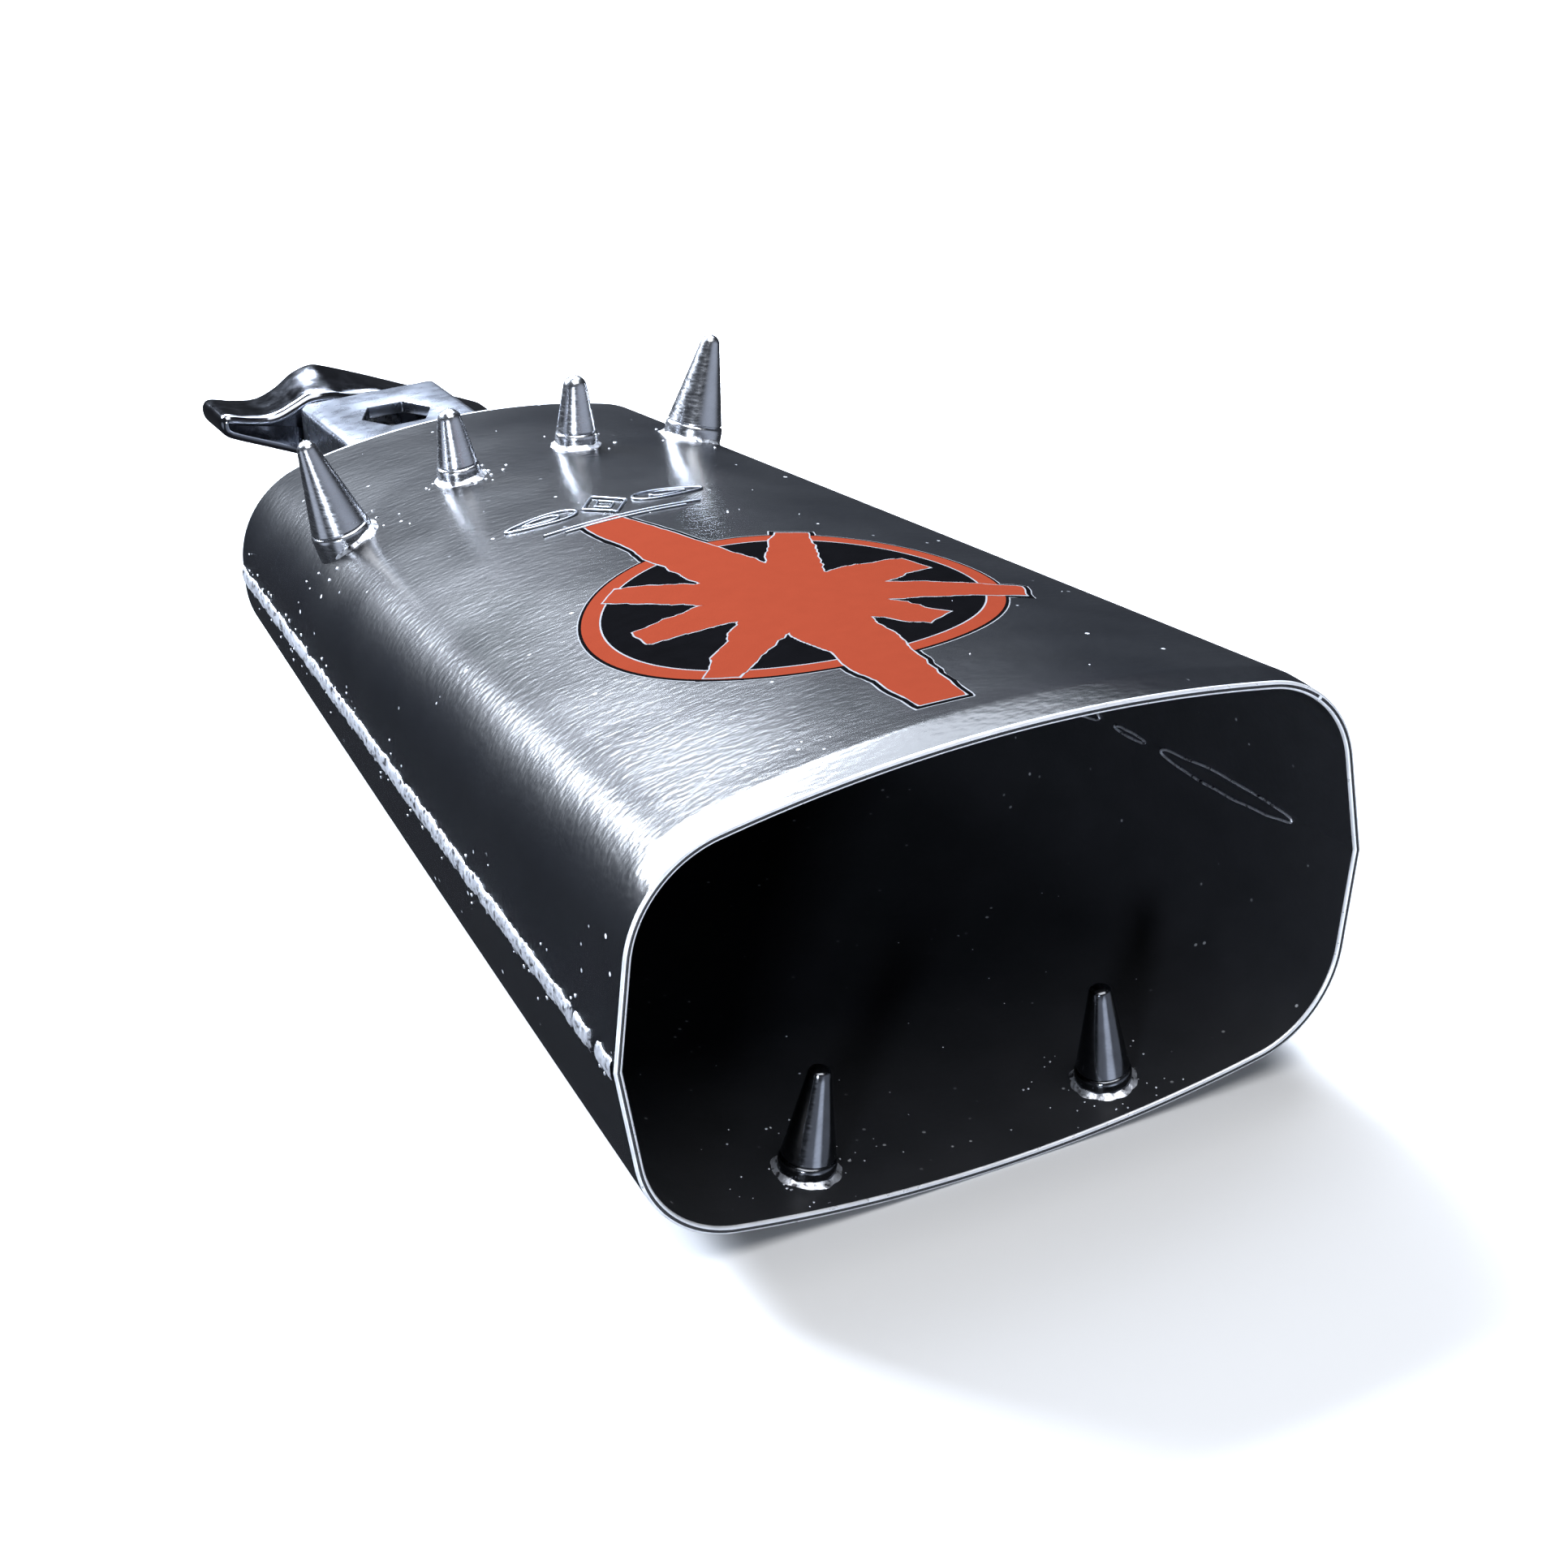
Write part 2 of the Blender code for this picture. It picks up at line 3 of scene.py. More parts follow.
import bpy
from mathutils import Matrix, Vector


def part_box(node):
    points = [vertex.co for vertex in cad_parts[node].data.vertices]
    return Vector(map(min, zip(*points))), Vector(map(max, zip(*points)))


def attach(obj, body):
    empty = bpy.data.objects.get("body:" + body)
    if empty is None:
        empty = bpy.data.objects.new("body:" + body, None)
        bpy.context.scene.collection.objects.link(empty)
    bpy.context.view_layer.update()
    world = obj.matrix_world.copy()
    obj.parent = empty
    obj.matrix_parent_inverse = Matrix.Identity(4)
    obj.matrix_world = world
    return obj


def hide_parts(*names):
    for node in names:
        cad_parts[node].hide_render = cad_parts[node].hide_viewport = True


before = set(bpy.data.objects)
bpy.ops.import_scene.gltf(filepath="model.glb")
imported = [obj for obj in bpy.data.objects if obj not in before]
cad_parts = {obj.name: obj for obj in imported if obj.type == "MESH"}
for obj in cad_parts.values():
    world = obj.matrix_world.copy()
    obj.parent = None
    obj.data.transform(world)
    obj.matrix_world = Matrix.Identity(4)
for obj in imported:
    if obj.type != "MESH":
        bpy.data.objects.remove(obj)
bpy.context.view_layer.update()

from math import atan, atan2, cos, pi, radians, sin, sqrt
from random import Random

import bmesh
import bpy
from mathutils import Matrix, Vector, noise

MM = 0.001                     # lengths below are millimetres in the bell's own frame

# ---- the bell's shape: the CAD's sizes, but for the lip and the swell behind it, which are for the look ----
LENGTH = 203.0
WALL = 1.3
MOUTH_TOP = (63.7, 38.3, 18.9, 0.14, 9.7)       # half width, half height, corner radius, lean, crown
MOUTH_BOTTOM = (63.7, 36.5, 18.9, 0.14, 7.9)
REAR = (45.6, 22.8, 17.6, 0.04, 7.5)
LIP_LENGTH = 5.8               # shorter than the CAD's lip
LIP_DROP = 1.8
LIP_CURVE = 1.1                # how round the lip turns down
FLARE = 0.12                   # the top swells by this just behind the lip
FLARE_START = 12.0             # where the swell begins
CROWN_INSET = 1.5
CROWN_THICKNESS = 1.5
SCREW_HEIGHT = 5.3
PITCH = atan((MOUTH_BOTTOM[1] - REAR[1]) / LENGTH)

# The bell's frame in the row's frame: pitched so that the underside is level, mouth at the box's front
MOUTH_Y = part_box("bottom_shell")[0][1] / MM + MOUTH_BOTTOM[1] * sin(PITCH)
BELL = (Matrix.Translation((0.0, MOUTH_Y * MM, MOUTH_BOTTOM[1] * cos(PITCH) * MM))
        @ Matrix.Rotation(-PITCH, 4, "X"))


# ---------------------------------------------------------------- sections of the bell

def bell_section(y, upper):
    """(half width, half height, corner radius, lean, crown) at y, from the mouth (0) to the rear rim."""
    mouth = MOUTH_TOP if upper else MOUTH_BOTTOM
    t = y / LENGTH
    width, height, corner, lean, crown = (a + (b - a) * t for a, b in zip(mouth, REAR))
    if upper and y < FLARE_START:
        rise = min(1.0, (FLARE_START - y) / (FLARE_START - LIP_LENGTH))
        swell = FLARE * rise * rise * (3.0 - 2.0 * rise)
        height, crown = height + swell, crown + swell
    if upper and y < LIP_LENGTH:
        drop = LIP_DROP * (1.0 - y / LIP_LENGTH) ** LIP_CURVE
        height, crown = height - drop, crown - drop
    return width, height, corner, lean, crown


def section_arcs(section):
    """End of the leaning side, corner centre, top centre, top radius, and the angle where the arcs meet."""
    width, height, corner, lean, crown = section
    top_radius = (width ** 2 + crown ** 2) / (2.0 * crown)
    top_centre = Vector((0.0, height - top_radius))
    up_side = Vector((-sin(lean), cos(lean)))
    inward = Vector((-cos(lean), -sin(lean)))
    start = Vector((width, 0.0)) + corner * inward - top_centre
    along = start.dot(up_side)
    reach = -along + sqrt(along ** 2 - start.length_squared + (top_radius - corner) ** 2)
    side_end = Vector((width, 0.0)) + reach * up_side
    corner_centre = side_end + corner * inward
    radial = corner_centre - top_centre
    return side_end, corner_centre, top_centre, top_radius, atan2(radial.y, radial.x)


SIDE_STEPS, CORNER_STEPS, TOP_STEPS = 6, 22, 24


def half_outline(y, upper, depth):
    """Points (x, z) of one half, from the right seam over to the left one, moved inwards by depth."""
    section = bell_section(y, upper)
    width, _, corner, lean, _ = section
    side_end, corner_centre, top_centre, top_radius, turn = section_arcs(section)
    inward = Vector((-cos(lean), -sin(lean)))
    seam_edge = Vector((width, 0.0))
    points = [seam_edge.lerp(side_end, i / SIDE_STEPS) + depth * inward for i in range(SIDE_STEPS)]
    points[0].y = 0.0
    for i in range(CORNER_STEPS):
        angle = lean + (turn - lean) * i / CORNER_STEPS
        points.append(corner_centre + (corner - depth) * Vector((cos(angle), sin(angle))))
    for i in range(TOP_STEPS + 1):
        angle = turn + (pi / 2.0 - turn) * i / TOP_STEPS
        points.append(top_centre + (top_radius - depth) * Vector((cos(angle), sin(angle))))
    return points + [Vector((-p.x, p.y)) for p in reversed(points[:-1])]


def skin_point(x, y, upper=True, depth=0.0):
    """Point on the bell over (x, y), and the outward normal there. The normal leaves out the taper."""
    section = bell_section(y, upper)
    _, corner_centre, top_centre, top_radius, turn = section_arcs(section)
    side = 1.0 if upper else -1.0
    radius, centre = top_radius - depth, top_centre
    if abs(x) > (top_radius - depth) * cos(turn):
        radius, centre = section[2] - depth, corner_centre
    across = min((abs(x) - centre.x) / radius, 0.999)
    up = sqrt(1.0 - across ** 2)
    normal = Vector((across if x > 0 else -across, 0.0, side * up))
    return Vector((x, y, side * (centre.y + radius * up))), normal


# ---------------------------------------------------------------- making pieces

def piece(name, mesh, looks, body, replaces=(), local=None, sharp=35.0):
    """Put a mesh in the row's frame, give it its materials and hang it on its CAD body."""
    if sharp is None:
        mesh.shade_flat()
    else:
        mesh.shade_smooth()
        mesh.set_sharp_from_angle(angle=radians(sharp))
    mesh.transform(BELL @ (local or Matrix()))
    obj = bpy.data.objects.new(name, mesh)
    bpy.context.scene.collection.objects.link(obj)
    for look in looks:
        mesh.materials.append(look)
    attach(obj, body)
    if replaces:
        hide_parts(*replaces)
    return obj


def add_grid(bm, rows, close_rows=False, close_columns=False, looks=None):
    """Quads between rows of points in mm. looks gives the material index of each strip between rows."""
    grid = [[bm.verts.new(Vector(p) * MM) for p in row] for row in rows]
    row_count, column_count = len(grid), len(grid[0])
    for i in range(row_count if close_rows else row_count - 1):
        here, there = grid[i], grid[(i + 1) % row_count]
        for j in range(column_count if close_columns else column_count - 1):
            k = (j + 1) % column_count
            face = bm.faces.new((here[j], here[k], there[k], there[j]))
            if looks is not None:
                face.material_index = looks[i]
    return grid


def grid_mesh(name, rows, close_rows=False, close_columns=False, looks=None):
    bm = bmesh.new()
    add_grid(bm, rows, close_rows, close_columns, looks)
    return finish_mesh(name, bm)


def finish_mesh(name, bm, recalc=True):
    if recalc:
        bmesh.ops.recalc_face_normals(bm, faces=bm.faces)
    mesh = bpy.data.meshes.new(name)
    bm.to_mesh(mesh)
    bm.free()
    return mesh


def close_ends(name, rows):
    """A tube of closed rings with both end rings filled."""
    bm = bmesh.new()
    grid = add_grid(bm, rows, close_columns=True)
    bm.faces.new(grid[0][::-1])
    bm.faces.new(grid[-1])
    return finish_mesh(name, bm)


def turned_rings(profile, steps):
    """Rings of a turned solid from its profile of (radius, height)."""
    rings = []
    for radius, height in profile:
        rings.append([(radius * cos(2.0 * pi * j / steps), radius * sin(2.0 * pi * j / steps), height)
                      for j in range(steps)])
    return rings


def arc_points(centre, radius, start, end, steps):
    """Points of an arc, angles in degrees."""
    return [(centre[0] + radius * cos(radians(start + (end - start) * i / steps)),
             centre[1] + radius * sin(radians(start + (end - start) * i / steps))) for i in range(steps + 1)]


def wobble(*place):
    """Smooth repeatable noise from -1 to 1 at a place."""
    return noise.noise(Vector(place))


# ---------------------------------------------------------------- materials

class Look:
    """A Principled material, and short ways to feed it from noise in object space."""

    def __init__(self, name, colour, roughness, metallic=0.0, **values):
        self.material = bpy.data.materials.new(name)
        self.material.use_nodes = True
        self.nodes = self.material.node_tree.nodes
        self.links = self.material.node_tree.links
        self.shader = self.nodes["Principled BSDF"]
        self.shader.inputs["Base Color"].default_value = (*colour, 1.0)
        self.shader.inputs["Roughness"].default_value = roughness
        self.shader.inputs["Metallic"].default_value = metallic
        for key, value in values.items():
            self.shader.inputs[key.replace("_", " ")].default_value = value
        self.coordinates = self.nodes.new("ShaderNodeTexCoord").outputs["Object"]
        self.normal = None

    def stretched(self, scale):
        mapping = self.nodes.new("ShaderNodeMapping")
        mapping.inputs["Scale"].default_value = scale
        self.links.new(self.coordinates, mapping.inputs["Vector"])
        return mapping.outputs["Vector"]

    def noise(self, size, detail=2.0, stretch=(1.0, 1.0, 1.0), roughness=0.5):
        """Noise with features of a size in mm."""
        texture = self.nodes.new("ShaderNodeTexNoise")
        texture.inputs["Scale"].default_value = 1.0 / (size * MM)
        texture.inputs["Detail"].default_value = detail
        texture.inputs["Roughness"].default_value = roughness
        self.links.new(self.stretched(stretch), texture.inputs["Vector"])
        return texture.outputs["Fac"]

    def spots(self, spacing, size):
        """1 inside scattered spots of a size in mm, 0 between them."""
        texture = self.nodes.new("ShaderNodeTexVoronoi")
        texture.inputs["Scale"].default_value = 1.0 / (spacing * MM)
        self.links.new(self.coordinates, texture.inputs["Vector"])
        return self.ramp(texture.outputs["Distance"], size / spacing, 0.6 * size / spacing, 0.0, 1.0)

    def ramp(self, source, low, high, to_low, to_high):
        node = self.nodes.new("ShaderNodeMapRange")
        node.inputs["From Min"].default_value = low
        node.inputs["From Max"].default_value = high
        node.inputs["To Min"].default_value = to_low
        node.inputs["To Max"].default_value = to_high
        self.links.new(source, node.inputs["Value"])
        return node.outputs["Result"]

    def product(self, first, second):
        node = self.nodes.new("ShaderNodeMath")
        node.operation = "MULTIPLY"
        self.links.new(first, node.inputs[0])
        self.links.new(second, node.inputs[1])
        return node.outputs[0]

    def colours(self, factor, first, second, over=None):
        """Mix two colours, or lay the second over another socket."""
        node = self.nodes.new("ShaderNodeMix")
        node.data_type = "RGBA"
        self.links.new(factor, node.inputs["Factor"])
        if over is None:
            node.inputs["A"].default_value = (*first, 1.0)
        else:
            self.links.new(over, node.inputs["A"])
        node.inputs["B"].default_value = (*second, 1.0)
        self.links.new(node.outputs["Result"], self.shader.inputs["Base Color"])
        return node.outputs["Result"]

    def rough(self, source, low, high):
        self.links.new(self.ramp(source, 0.3, 0.7, low, high), self.shader.inputs["Roughness"])

    def bump(self, height, depth, strength=1.0):
        """Bump of a depth in mm, stacked on any before it."""
        node = self.nodes.new("ShaderNodeBump")
        node.inputs["Strength"].default_value = strength
        node.inputs["Distance"].default_value = depth * MM
        self.links.new(height, node.inputs["Height"])
        if self.normal is not None:
            self.links.new(self.normal, node.inputs["Normal"])
        self.normal = node.outputs["Normal"]
        self.links.new(self.normal, self.shader.inputs["Normal"])


def black_paint():
    look = Look("black_paint", (0.0026, 0.0030, 0.0042), 0.23, Specular_IOR_Level=0.85)
    base = look.colours(look.noise(9.0, 3.0), (0.0020, 0.0024, 0.0033), (0.0032, 0.0038, 0.0052))
    specks = look.product(look.spots(4.6, 0.42), look.ramp(look.noise(14.0), 0.5, 0.62, 0.0, 1.0))
    look.colours(specks, None, (0.55, 0.58, 0.62), over=base)
    look.rough(look.noise(22.0, 4.0), 0.21, 0.26)
    look.bump(look.noise(1.3, 1.0, stretch=(0.6, 1.3, 1.0)), 0.06)
    return look.material


def inner_paint():
    look = Look("inner_paint", (0.015, 0.016, 0.019), 0.36)
    base = look.colours(look.noise(11.0, 3.0), (0.011, 0.012, 0.014), (0.019, 0.020, 0.024))
    specks = look.product(look.spots(3.6, 0.34), look.ramp(look.noise(12.0), 0.5, 0.62, 0.0, 1.0))
    look.colours(specks, None, (0.30, 0.31, 0.33), over=base)
    look.rough(look.noise(16.0, 4.0), 0.30, 0.42)
    look.bump(look.noise(1.1, 3.0), 0.04, 0.6)
    return look.material


# Bright metal on the sheet's rounded cut edges and round the rear rim: painted highlight, standing in for the
# light these rounded edges of the black paint catch
def edge_highlight():
    look = Look("edge_highlight", (0.80, 0.82, 0.86), 0.34, 0.55)
    look.colours(look.noise(2.5, 4.0), (0.60, 0.62, 0.66), (0.92, 0.94, 0.98))
    look.rough(look.noise(1.2, 3.0), 0.26, 0.44)
    look.bump(look.noise(0.5, 2.0), 0.02, 0.4)
    return look.material


def weld_metal():
    look = Look("weld_metal", (0.66, 0.69, 0.75), 0.34, 0.85)
    soot = look.ramp(look.noise(1.3, 4.0), 0.52, 0.66, 0.0, 1.0)
    look.colours(soot, (0.74, 0.77, 0.84), (0.06, 0.06, 0.07))
    look.rough(look.noise(0.9, 3.0), 0.26, 0.5)
    look.bump(look.noise(0.6, 3.0), 0.12, 0.9)
    return look.material


def dark_chrome():
    look = Look("dark_chrome", (0.62, 0.64, 0.69), 0.2, 1.0)
    look.colours(look.noise(3.0, 4.0), (0.52, 0.54, 0.58), (0.70, 0.72, 0.77))
    look.rough(look.noise(1.4, 4.0, stretch=(1.0, 1.0, 4.0)), 0.15, 0.30)
    look.bump(look.noise(0.5, 1.0, stretch=(0.05, 0.05, 1.0)), 0.006, 0.5)
    look.bump(look.noise(2.4, 1.0), 0.02, 0.3)
    return look.material


# A darker copy of the spike chrome for the spikes inside the mouth: painted shade, for the dark inside of the
# bell that these spikes mirror
def chrome_darkened_for_shade():
    look = Look("chrome_darkened_for_shade", (0.13, 0.135, 0.15), 0.14, 1.0)
    look.colours(look.noise(3.0, 4.0), (0.09, 0.095, 0.105), (0.16, 0.168, 0.185))
    look.rough(look.noise(1.4, 4.0, stretch=(1.0, 1.0, 4.0)), 0.10, 0.24)
    look.bump(look.noise(1.8, 2.0), 0.03, 0.4)
    return look.material


def satin_steel():
    look = Look("satin_steel", (0.24, 0.26, 0.30), 0.26, 1.0)
    look.colours(look.noise(4.0, 5.0), (0.20, 0.22, 0.26), (0.29, 0.31, 0.355))
    look.rough(look.noise(2.2, 2.0, stretch=(0.5, 1.0, 1.0)), 0.25, 0.31)
    look.bump(look.noise(0.5, 2.0, stretch=(0.12, 1.0, 1.0)), 0.006, 0.5)
    look.bump(look.noise(6.0, 1.0), 0.02, 0.3)
    return look.material


def zinc_plate():
    look = Look("zinc_plate", (0.55, 0.57, 0.60), 0.28, 1.0)
    look.colours(look.noise(1.5, 4.0), (0.42, 0.44, 0.47), (0.62, 0.63, 0.66))
    look.rough(look.noise(0.8, 3.0), 0.22, 0.40)
    look.bump(look.noise(0.3, 2.0), 0.012, 0.5)
    return look.material


def black_nickel():
    look = Look("black_nickel", (0.20, 0.21, 0.24), 0.09, 1.0)
    look.colours(look.noise(6.0, 4.0), (0.16, 0.17, 0.195), (0.24, 0.25, 0.28))
    look.rough(look.noise(2.5, 4.0), 0.07, 0.16)
    look.bump(look.noise(3.0, 2.0), 0.04, 0.35)
    look.bump(look.noise(0.6, 2.0), 0.008, 0.4)
    return look.material


def decal(name, first, second, low, high):
    look = Look(name, first, low, Specular_IOR_Level=0.0)
    look.colours(look.noise(3.0, 5.0), first, second)
    look.rough(look.noise(5.0, 4.0), low, high)
    look.bump(look.noise(0.6, 3.0), 0.03, 0.35)
    return look.material


# ---------------------------------------------------------------- the two shells

RIM_ROUND = 0.42               # rounding of the sheet's cut edges
RIM_HIGHLIGHT = 0.9                 # width of the bright metal strip round the outside of the rear rim: a painted highlight
LIP_ROWS = (0.0, 0.05, 0.11, 0.18, 0.26, 0.35, 0.45, 0.56, 0.68, 0.8, 0.9, 1.0)
BODY_STEPS = 34


def wall_profile():
    """The closed loop (y, depth, material) of the sheet: from the rear along the outside, back inside."""
    paint, edge, inside = 0, 1, 2
    first = RIM_ROUND
    quarter = [radians(22.5 * k) for k in range(5)]
    flare = [LIP_LENGTH + (FLARE_START - LIP_LENGTH) * i / 8 for i in range(1, 8)]
    body = flare + [FLARE_START + (LENGTH - RIM_ROUND - FLARE_START) * i / BODY_STEPS
                    for i in range(BODY_STEPS + 1)]
    lip = [first + (LIP_LENGTH - first) * f for f in LIP_ROWS]
    # The outside of the rear rim also gets the bright edge metal, a painted highlight
    highlight_from = LENGTH - RIM_HIGHLIGHT
    body.insert(-1, highlight_from)
    outer = [(y, 0.0, edge if y > highlight_from else paint) for y in reversed(lip + body)]
    front_outer = [(first - first * sin(a), first - first * cos(a), edge) for a in quarter[1:]]
    front_inner = [(first - first * cos(a), WALL - first + first * sin(a), edge) for a in quarter]
    outer[-1] = (outer[-1][0], 0.0, edge)
    front_outer[-1] = (front_outer[-1][0], front_outer[-1][1], paint)
    front_inner[-1] = (front_inner[-1][0], front_inner[-1][1], inside)
    inner = [(y, WALL, inside) for y in (lip + body)[1:]]
    rear = LENGTH - RIM_ROUND
    inner[-1] = (inner[-1][0], WALL, edge)
    rear_inner = [(rear + first * sin(a), WALL - first + first * cos(a), edge) for a in quarter[1:]]
    rear_inner[-1] = (*rear_inner[-1][:2], paint)
    rear_outer = [(rear + first * cos(a), first - first * sin(a), edge) for a in quarter[:4]]
    return outer + front_outer + front_inner + inner + rear_inner + rear_outer


def shell(name, upper, node, looks):
    side = 1.0 if upper else -1.0
    rows, strips = [], []
    for y, depth, look in wall_profile():
        rows.append([(p.x, y, side * p.y) for p in half_outline(y, upper, depth)])
        strips.append(look)
    return piece(name, grid_mesh(name, rows, close_rows=True, looks=strips), looks, "bell",
                 replaces=(node,))


def crown_plate(looks):
    """The end plate, with a rounded rim and a very shallow pressed dome."""
    rear = LENGTH - CROWN_INSET
    upper = half_outline(LENGTH, True, WALL - 0.05)
    ring = [(p.x, p.y) for p in upper] + [(p.x, -p.y) for p in reversed(upper[1:-1])]
    rows = []
    for scale, back in ((0.0, 0.55), (0.25, 0.5), (0.5, 0.38), (0.75, 0.15), (0.9, 0.0), (0.985, -0.02),
                        (1.0, -0.25), (1.0, -CROWN_THICKNESS), (0.5, -CROWN_THICKNESS),
                        (0.0, -CROWN_THICKNESS)):
        rows.append([(x * max(scale, 0.001), rear + back, z * max(scale, 0.001)) for x, z in ring])
    return piece("end_plate", close_ends("end_plate", rows), looks, "bell",
                 replaces=("crown_plate",))


# ---------------------------------------------------------------- welds

def bead_mesh(name, path, outward, across, half_width, height, seed, ripple=1.7, gaps=()):
    """A hand-laid weld bead: a low dome along a path of points, lumpy, rippled, and sunk at its gaps."""
    rows = []
    travelled = 0.0
    for i, point in enumerate(path):
        if i:
            travelled += (point - path[i - 1]).length
        drift = wobble(travelled * 0.21, seed, 0.0)
        lump = wobble(travelled * 0.55, seed, 5.0)
        wave = abs(sin(pi * travelled / ripple + 1.6 * drift))
        wide = half_width * (1.0 + 0.35 * lump + 0.10 * wave)
        tall = height * (0.8 + 0.45 * wobble(travelled * 0.4, seed, 9.0) + 0.30 * wave)
        for low, high in gaps:
            if low < travelled < high:
                tall, wide = -0.3, wide * 0.5
        centre = point + across[i] * (0.35 * half_width * drift)
        row = []
        for k in range(9):
            angle = pi * k / 8
            bulge = 1.0 + 0.10 * wobble(travelled * 1.3, k * 0.9, seed)
            row.append(centre + across[i] * (wide * cos(angle)) * bulge
                       + outward[i] * (tall * sin(angle) * bulge - 0.18))
        rows.append(row)
    return grid_mesh(name, rows)


def seam_bead(name, side, node, looks):
    """The bead along a side seam, broken near the mouth."""
    steps = 420
    path = []
    for i in range(steps + 1):
        y = 1.2 + (LENGTH - 2.0) * i / steps
        path.append(Vector((side * bell_section(y, True)[0], y, 0.0)))
    outward = [Vector((side, 0.0, 0.0))] * len(path)
    across = [Vector((0.0, 0.0, 1.0))] * len(path)
    mesh = bead_mesh(name, path, outward, across, 1.6, 0.5, 3.0 + side, gaps=((6.0, 8.2), (15.0, 16.2)))
    return piece(name, mesh, looks, "bell", replaces=(node,), sharp=60.0)


def ring_bead(name, y, depth, node, looks):
    """The bead round the end plate, in the corner under the rear rim."""
    upper = half_outline(y, True, depth)
    ring = [Vector((p.x, y, p.y)) for p in upper] + [Vector((p.x, y, -p.y)) for p in reversed(upper[1:-1])]
    return closed_bead(name, ring, 0.75, 0.8, 11.0, node, looks)


def closed_bead(name, ring, half_width, height, seed, node, looks):
    """A lumpy bead round a closed line that lies across the bell."""
    fine = []
    count = len(ring)
    for i in range(count):
        here, there = ring[i], ring[(i + 1) % count]
        steps = max(1, int((there - here).length / 0.6))
        fine += [here.lerp(there, k / steps) for k in range(steps)]
    middle = sum(fine, Vector()) / len(fine)
    rows = []
    travelled = 0.0
    for i, point in enumerate(fine):
        travelled += (point - fine[i - 1]).length if i else 0.0
        run = (fine[(i + 1) % len(fine)] - fine[i - 1]).normalized()
        across = run.cross(Vector((0.0, 1.0, 0.0)))
        if across.dot(point - middle) < 0:
            across = -across
        lump = 1.0 + 0.22 * wobble(point.x * 0.5, point.z * 0.5, seed)
        wave = 0.12 * abs(sin(pi * travelled / 1.9))
        row = []
        for k in range(10):
            angle = 2.0 * pi * k / 10
            bulge = lump + wave + 0.08 * wobble(point.x * 1.2, point.z * 1.2, seed + k)
            row.append(point + across * (half_width * bulge * cos(angle))
                       + Vector((0.0, 1.0, 0.0)) * (height * bulge * sin(angle)))
        rows.append(row)
    mesh = grid_mesh(name, rows, close_rows=True, close_columns=True)
    return piece(name, mesh, looks, "bell", replaces=(node,), sharp=70.0)


# ---------------------------------------------------------------- spikes

LONG_SPIKE = {"length": 20.0, "foot": 5.5, "tip": 1.8}
SHORT_SPIKE = {"length": 13.5, "foot": 4.0, "tip": 2.2}
MOUTH_SPIKE = {"length": 18.0, "foot": 4.5, "tip": 1.7}
REAR_SPIKES = (                # name, x, y, sideways lean in degrees, shape
    ("outer_left", -39.8, 158.7, -15.5, LONG_SPIKE),
    ("inner_left", -14.7, 164.6, -4.0, SHORT_SPIKE),
    ("inner_right", 10.7, 168.9, 4.0, SHORT_SPIKE),
    ("outer_right", 35.9, 171.4, 17.5, LONG_SPIKE),
)
MOUTH_SPIKES = (               # name, x, y, sideways lean in degrees
    ("left", -29.2, 10.3, 7.5),
    ("right", 23.1, 9.5, -5.5),
)
MOUTH_SPIKE_BURIED = 0.9       # its foot goes less far into the sheet, to stay above what the bell lies on


def spike_mesh(name, shape, flat_tip, buried=3.2):
    """Cone with a softly rounded tip, a fine turned groove, and a short collar at its foot."""
    length, foot, tip = shape["length"], shape["foot"], shape["tip"]
    collar = 2.6
    profile = [(0.001, length)]
    round_height = tip * (0.45 if flat_tip else 1.0)
    for i in range(1, 11):
        angle = radians(90.0 - 80.0 * i / 10)
        profile.append((tip * cos(angle) * 1.0154,
                        length - round_height + round_height * (sin(angle) - 0.17)))
    start = profile[-1]
    for i in range(1, 13):
        height = start[1] + (collar + 0.35 - start[1]) * i / 12
        profile.append((start[0] + (foot - 0.3 - start[0]) * i / 12, height))
    groove = foot - 0.52
    profile += [(groove, collar + 0.2), (groove, collar + 0.02), (foot - 0.18, collar - 0.16),
                (foot - 0.03, collar - 0.45), (foot, collar - 0.9), (foot, 0.2), (foot - 0.05, -buried),
                (0.001, -buried)]
    return close_ends(name, turned_rings(profile[::-1], 56))


def spike_frame(x, y, lean, upper, depth):
    """Where a spike stands, and its frame: square to the bell's taper, leaning sideways by an angle."""
    spot, _ = skin_point(x, y, upper, depth)
    taper = atan((MOUTH_TOP[1] - REAR[1]) / LENGTH) if upper else -PITCH
    tilt = Matrix.Rotation(radians(lean), 4, "Y") @ Matrix.Rotation(-taper, 4, "X")
    return Matrix.Translation(spot * MM) @ tilt


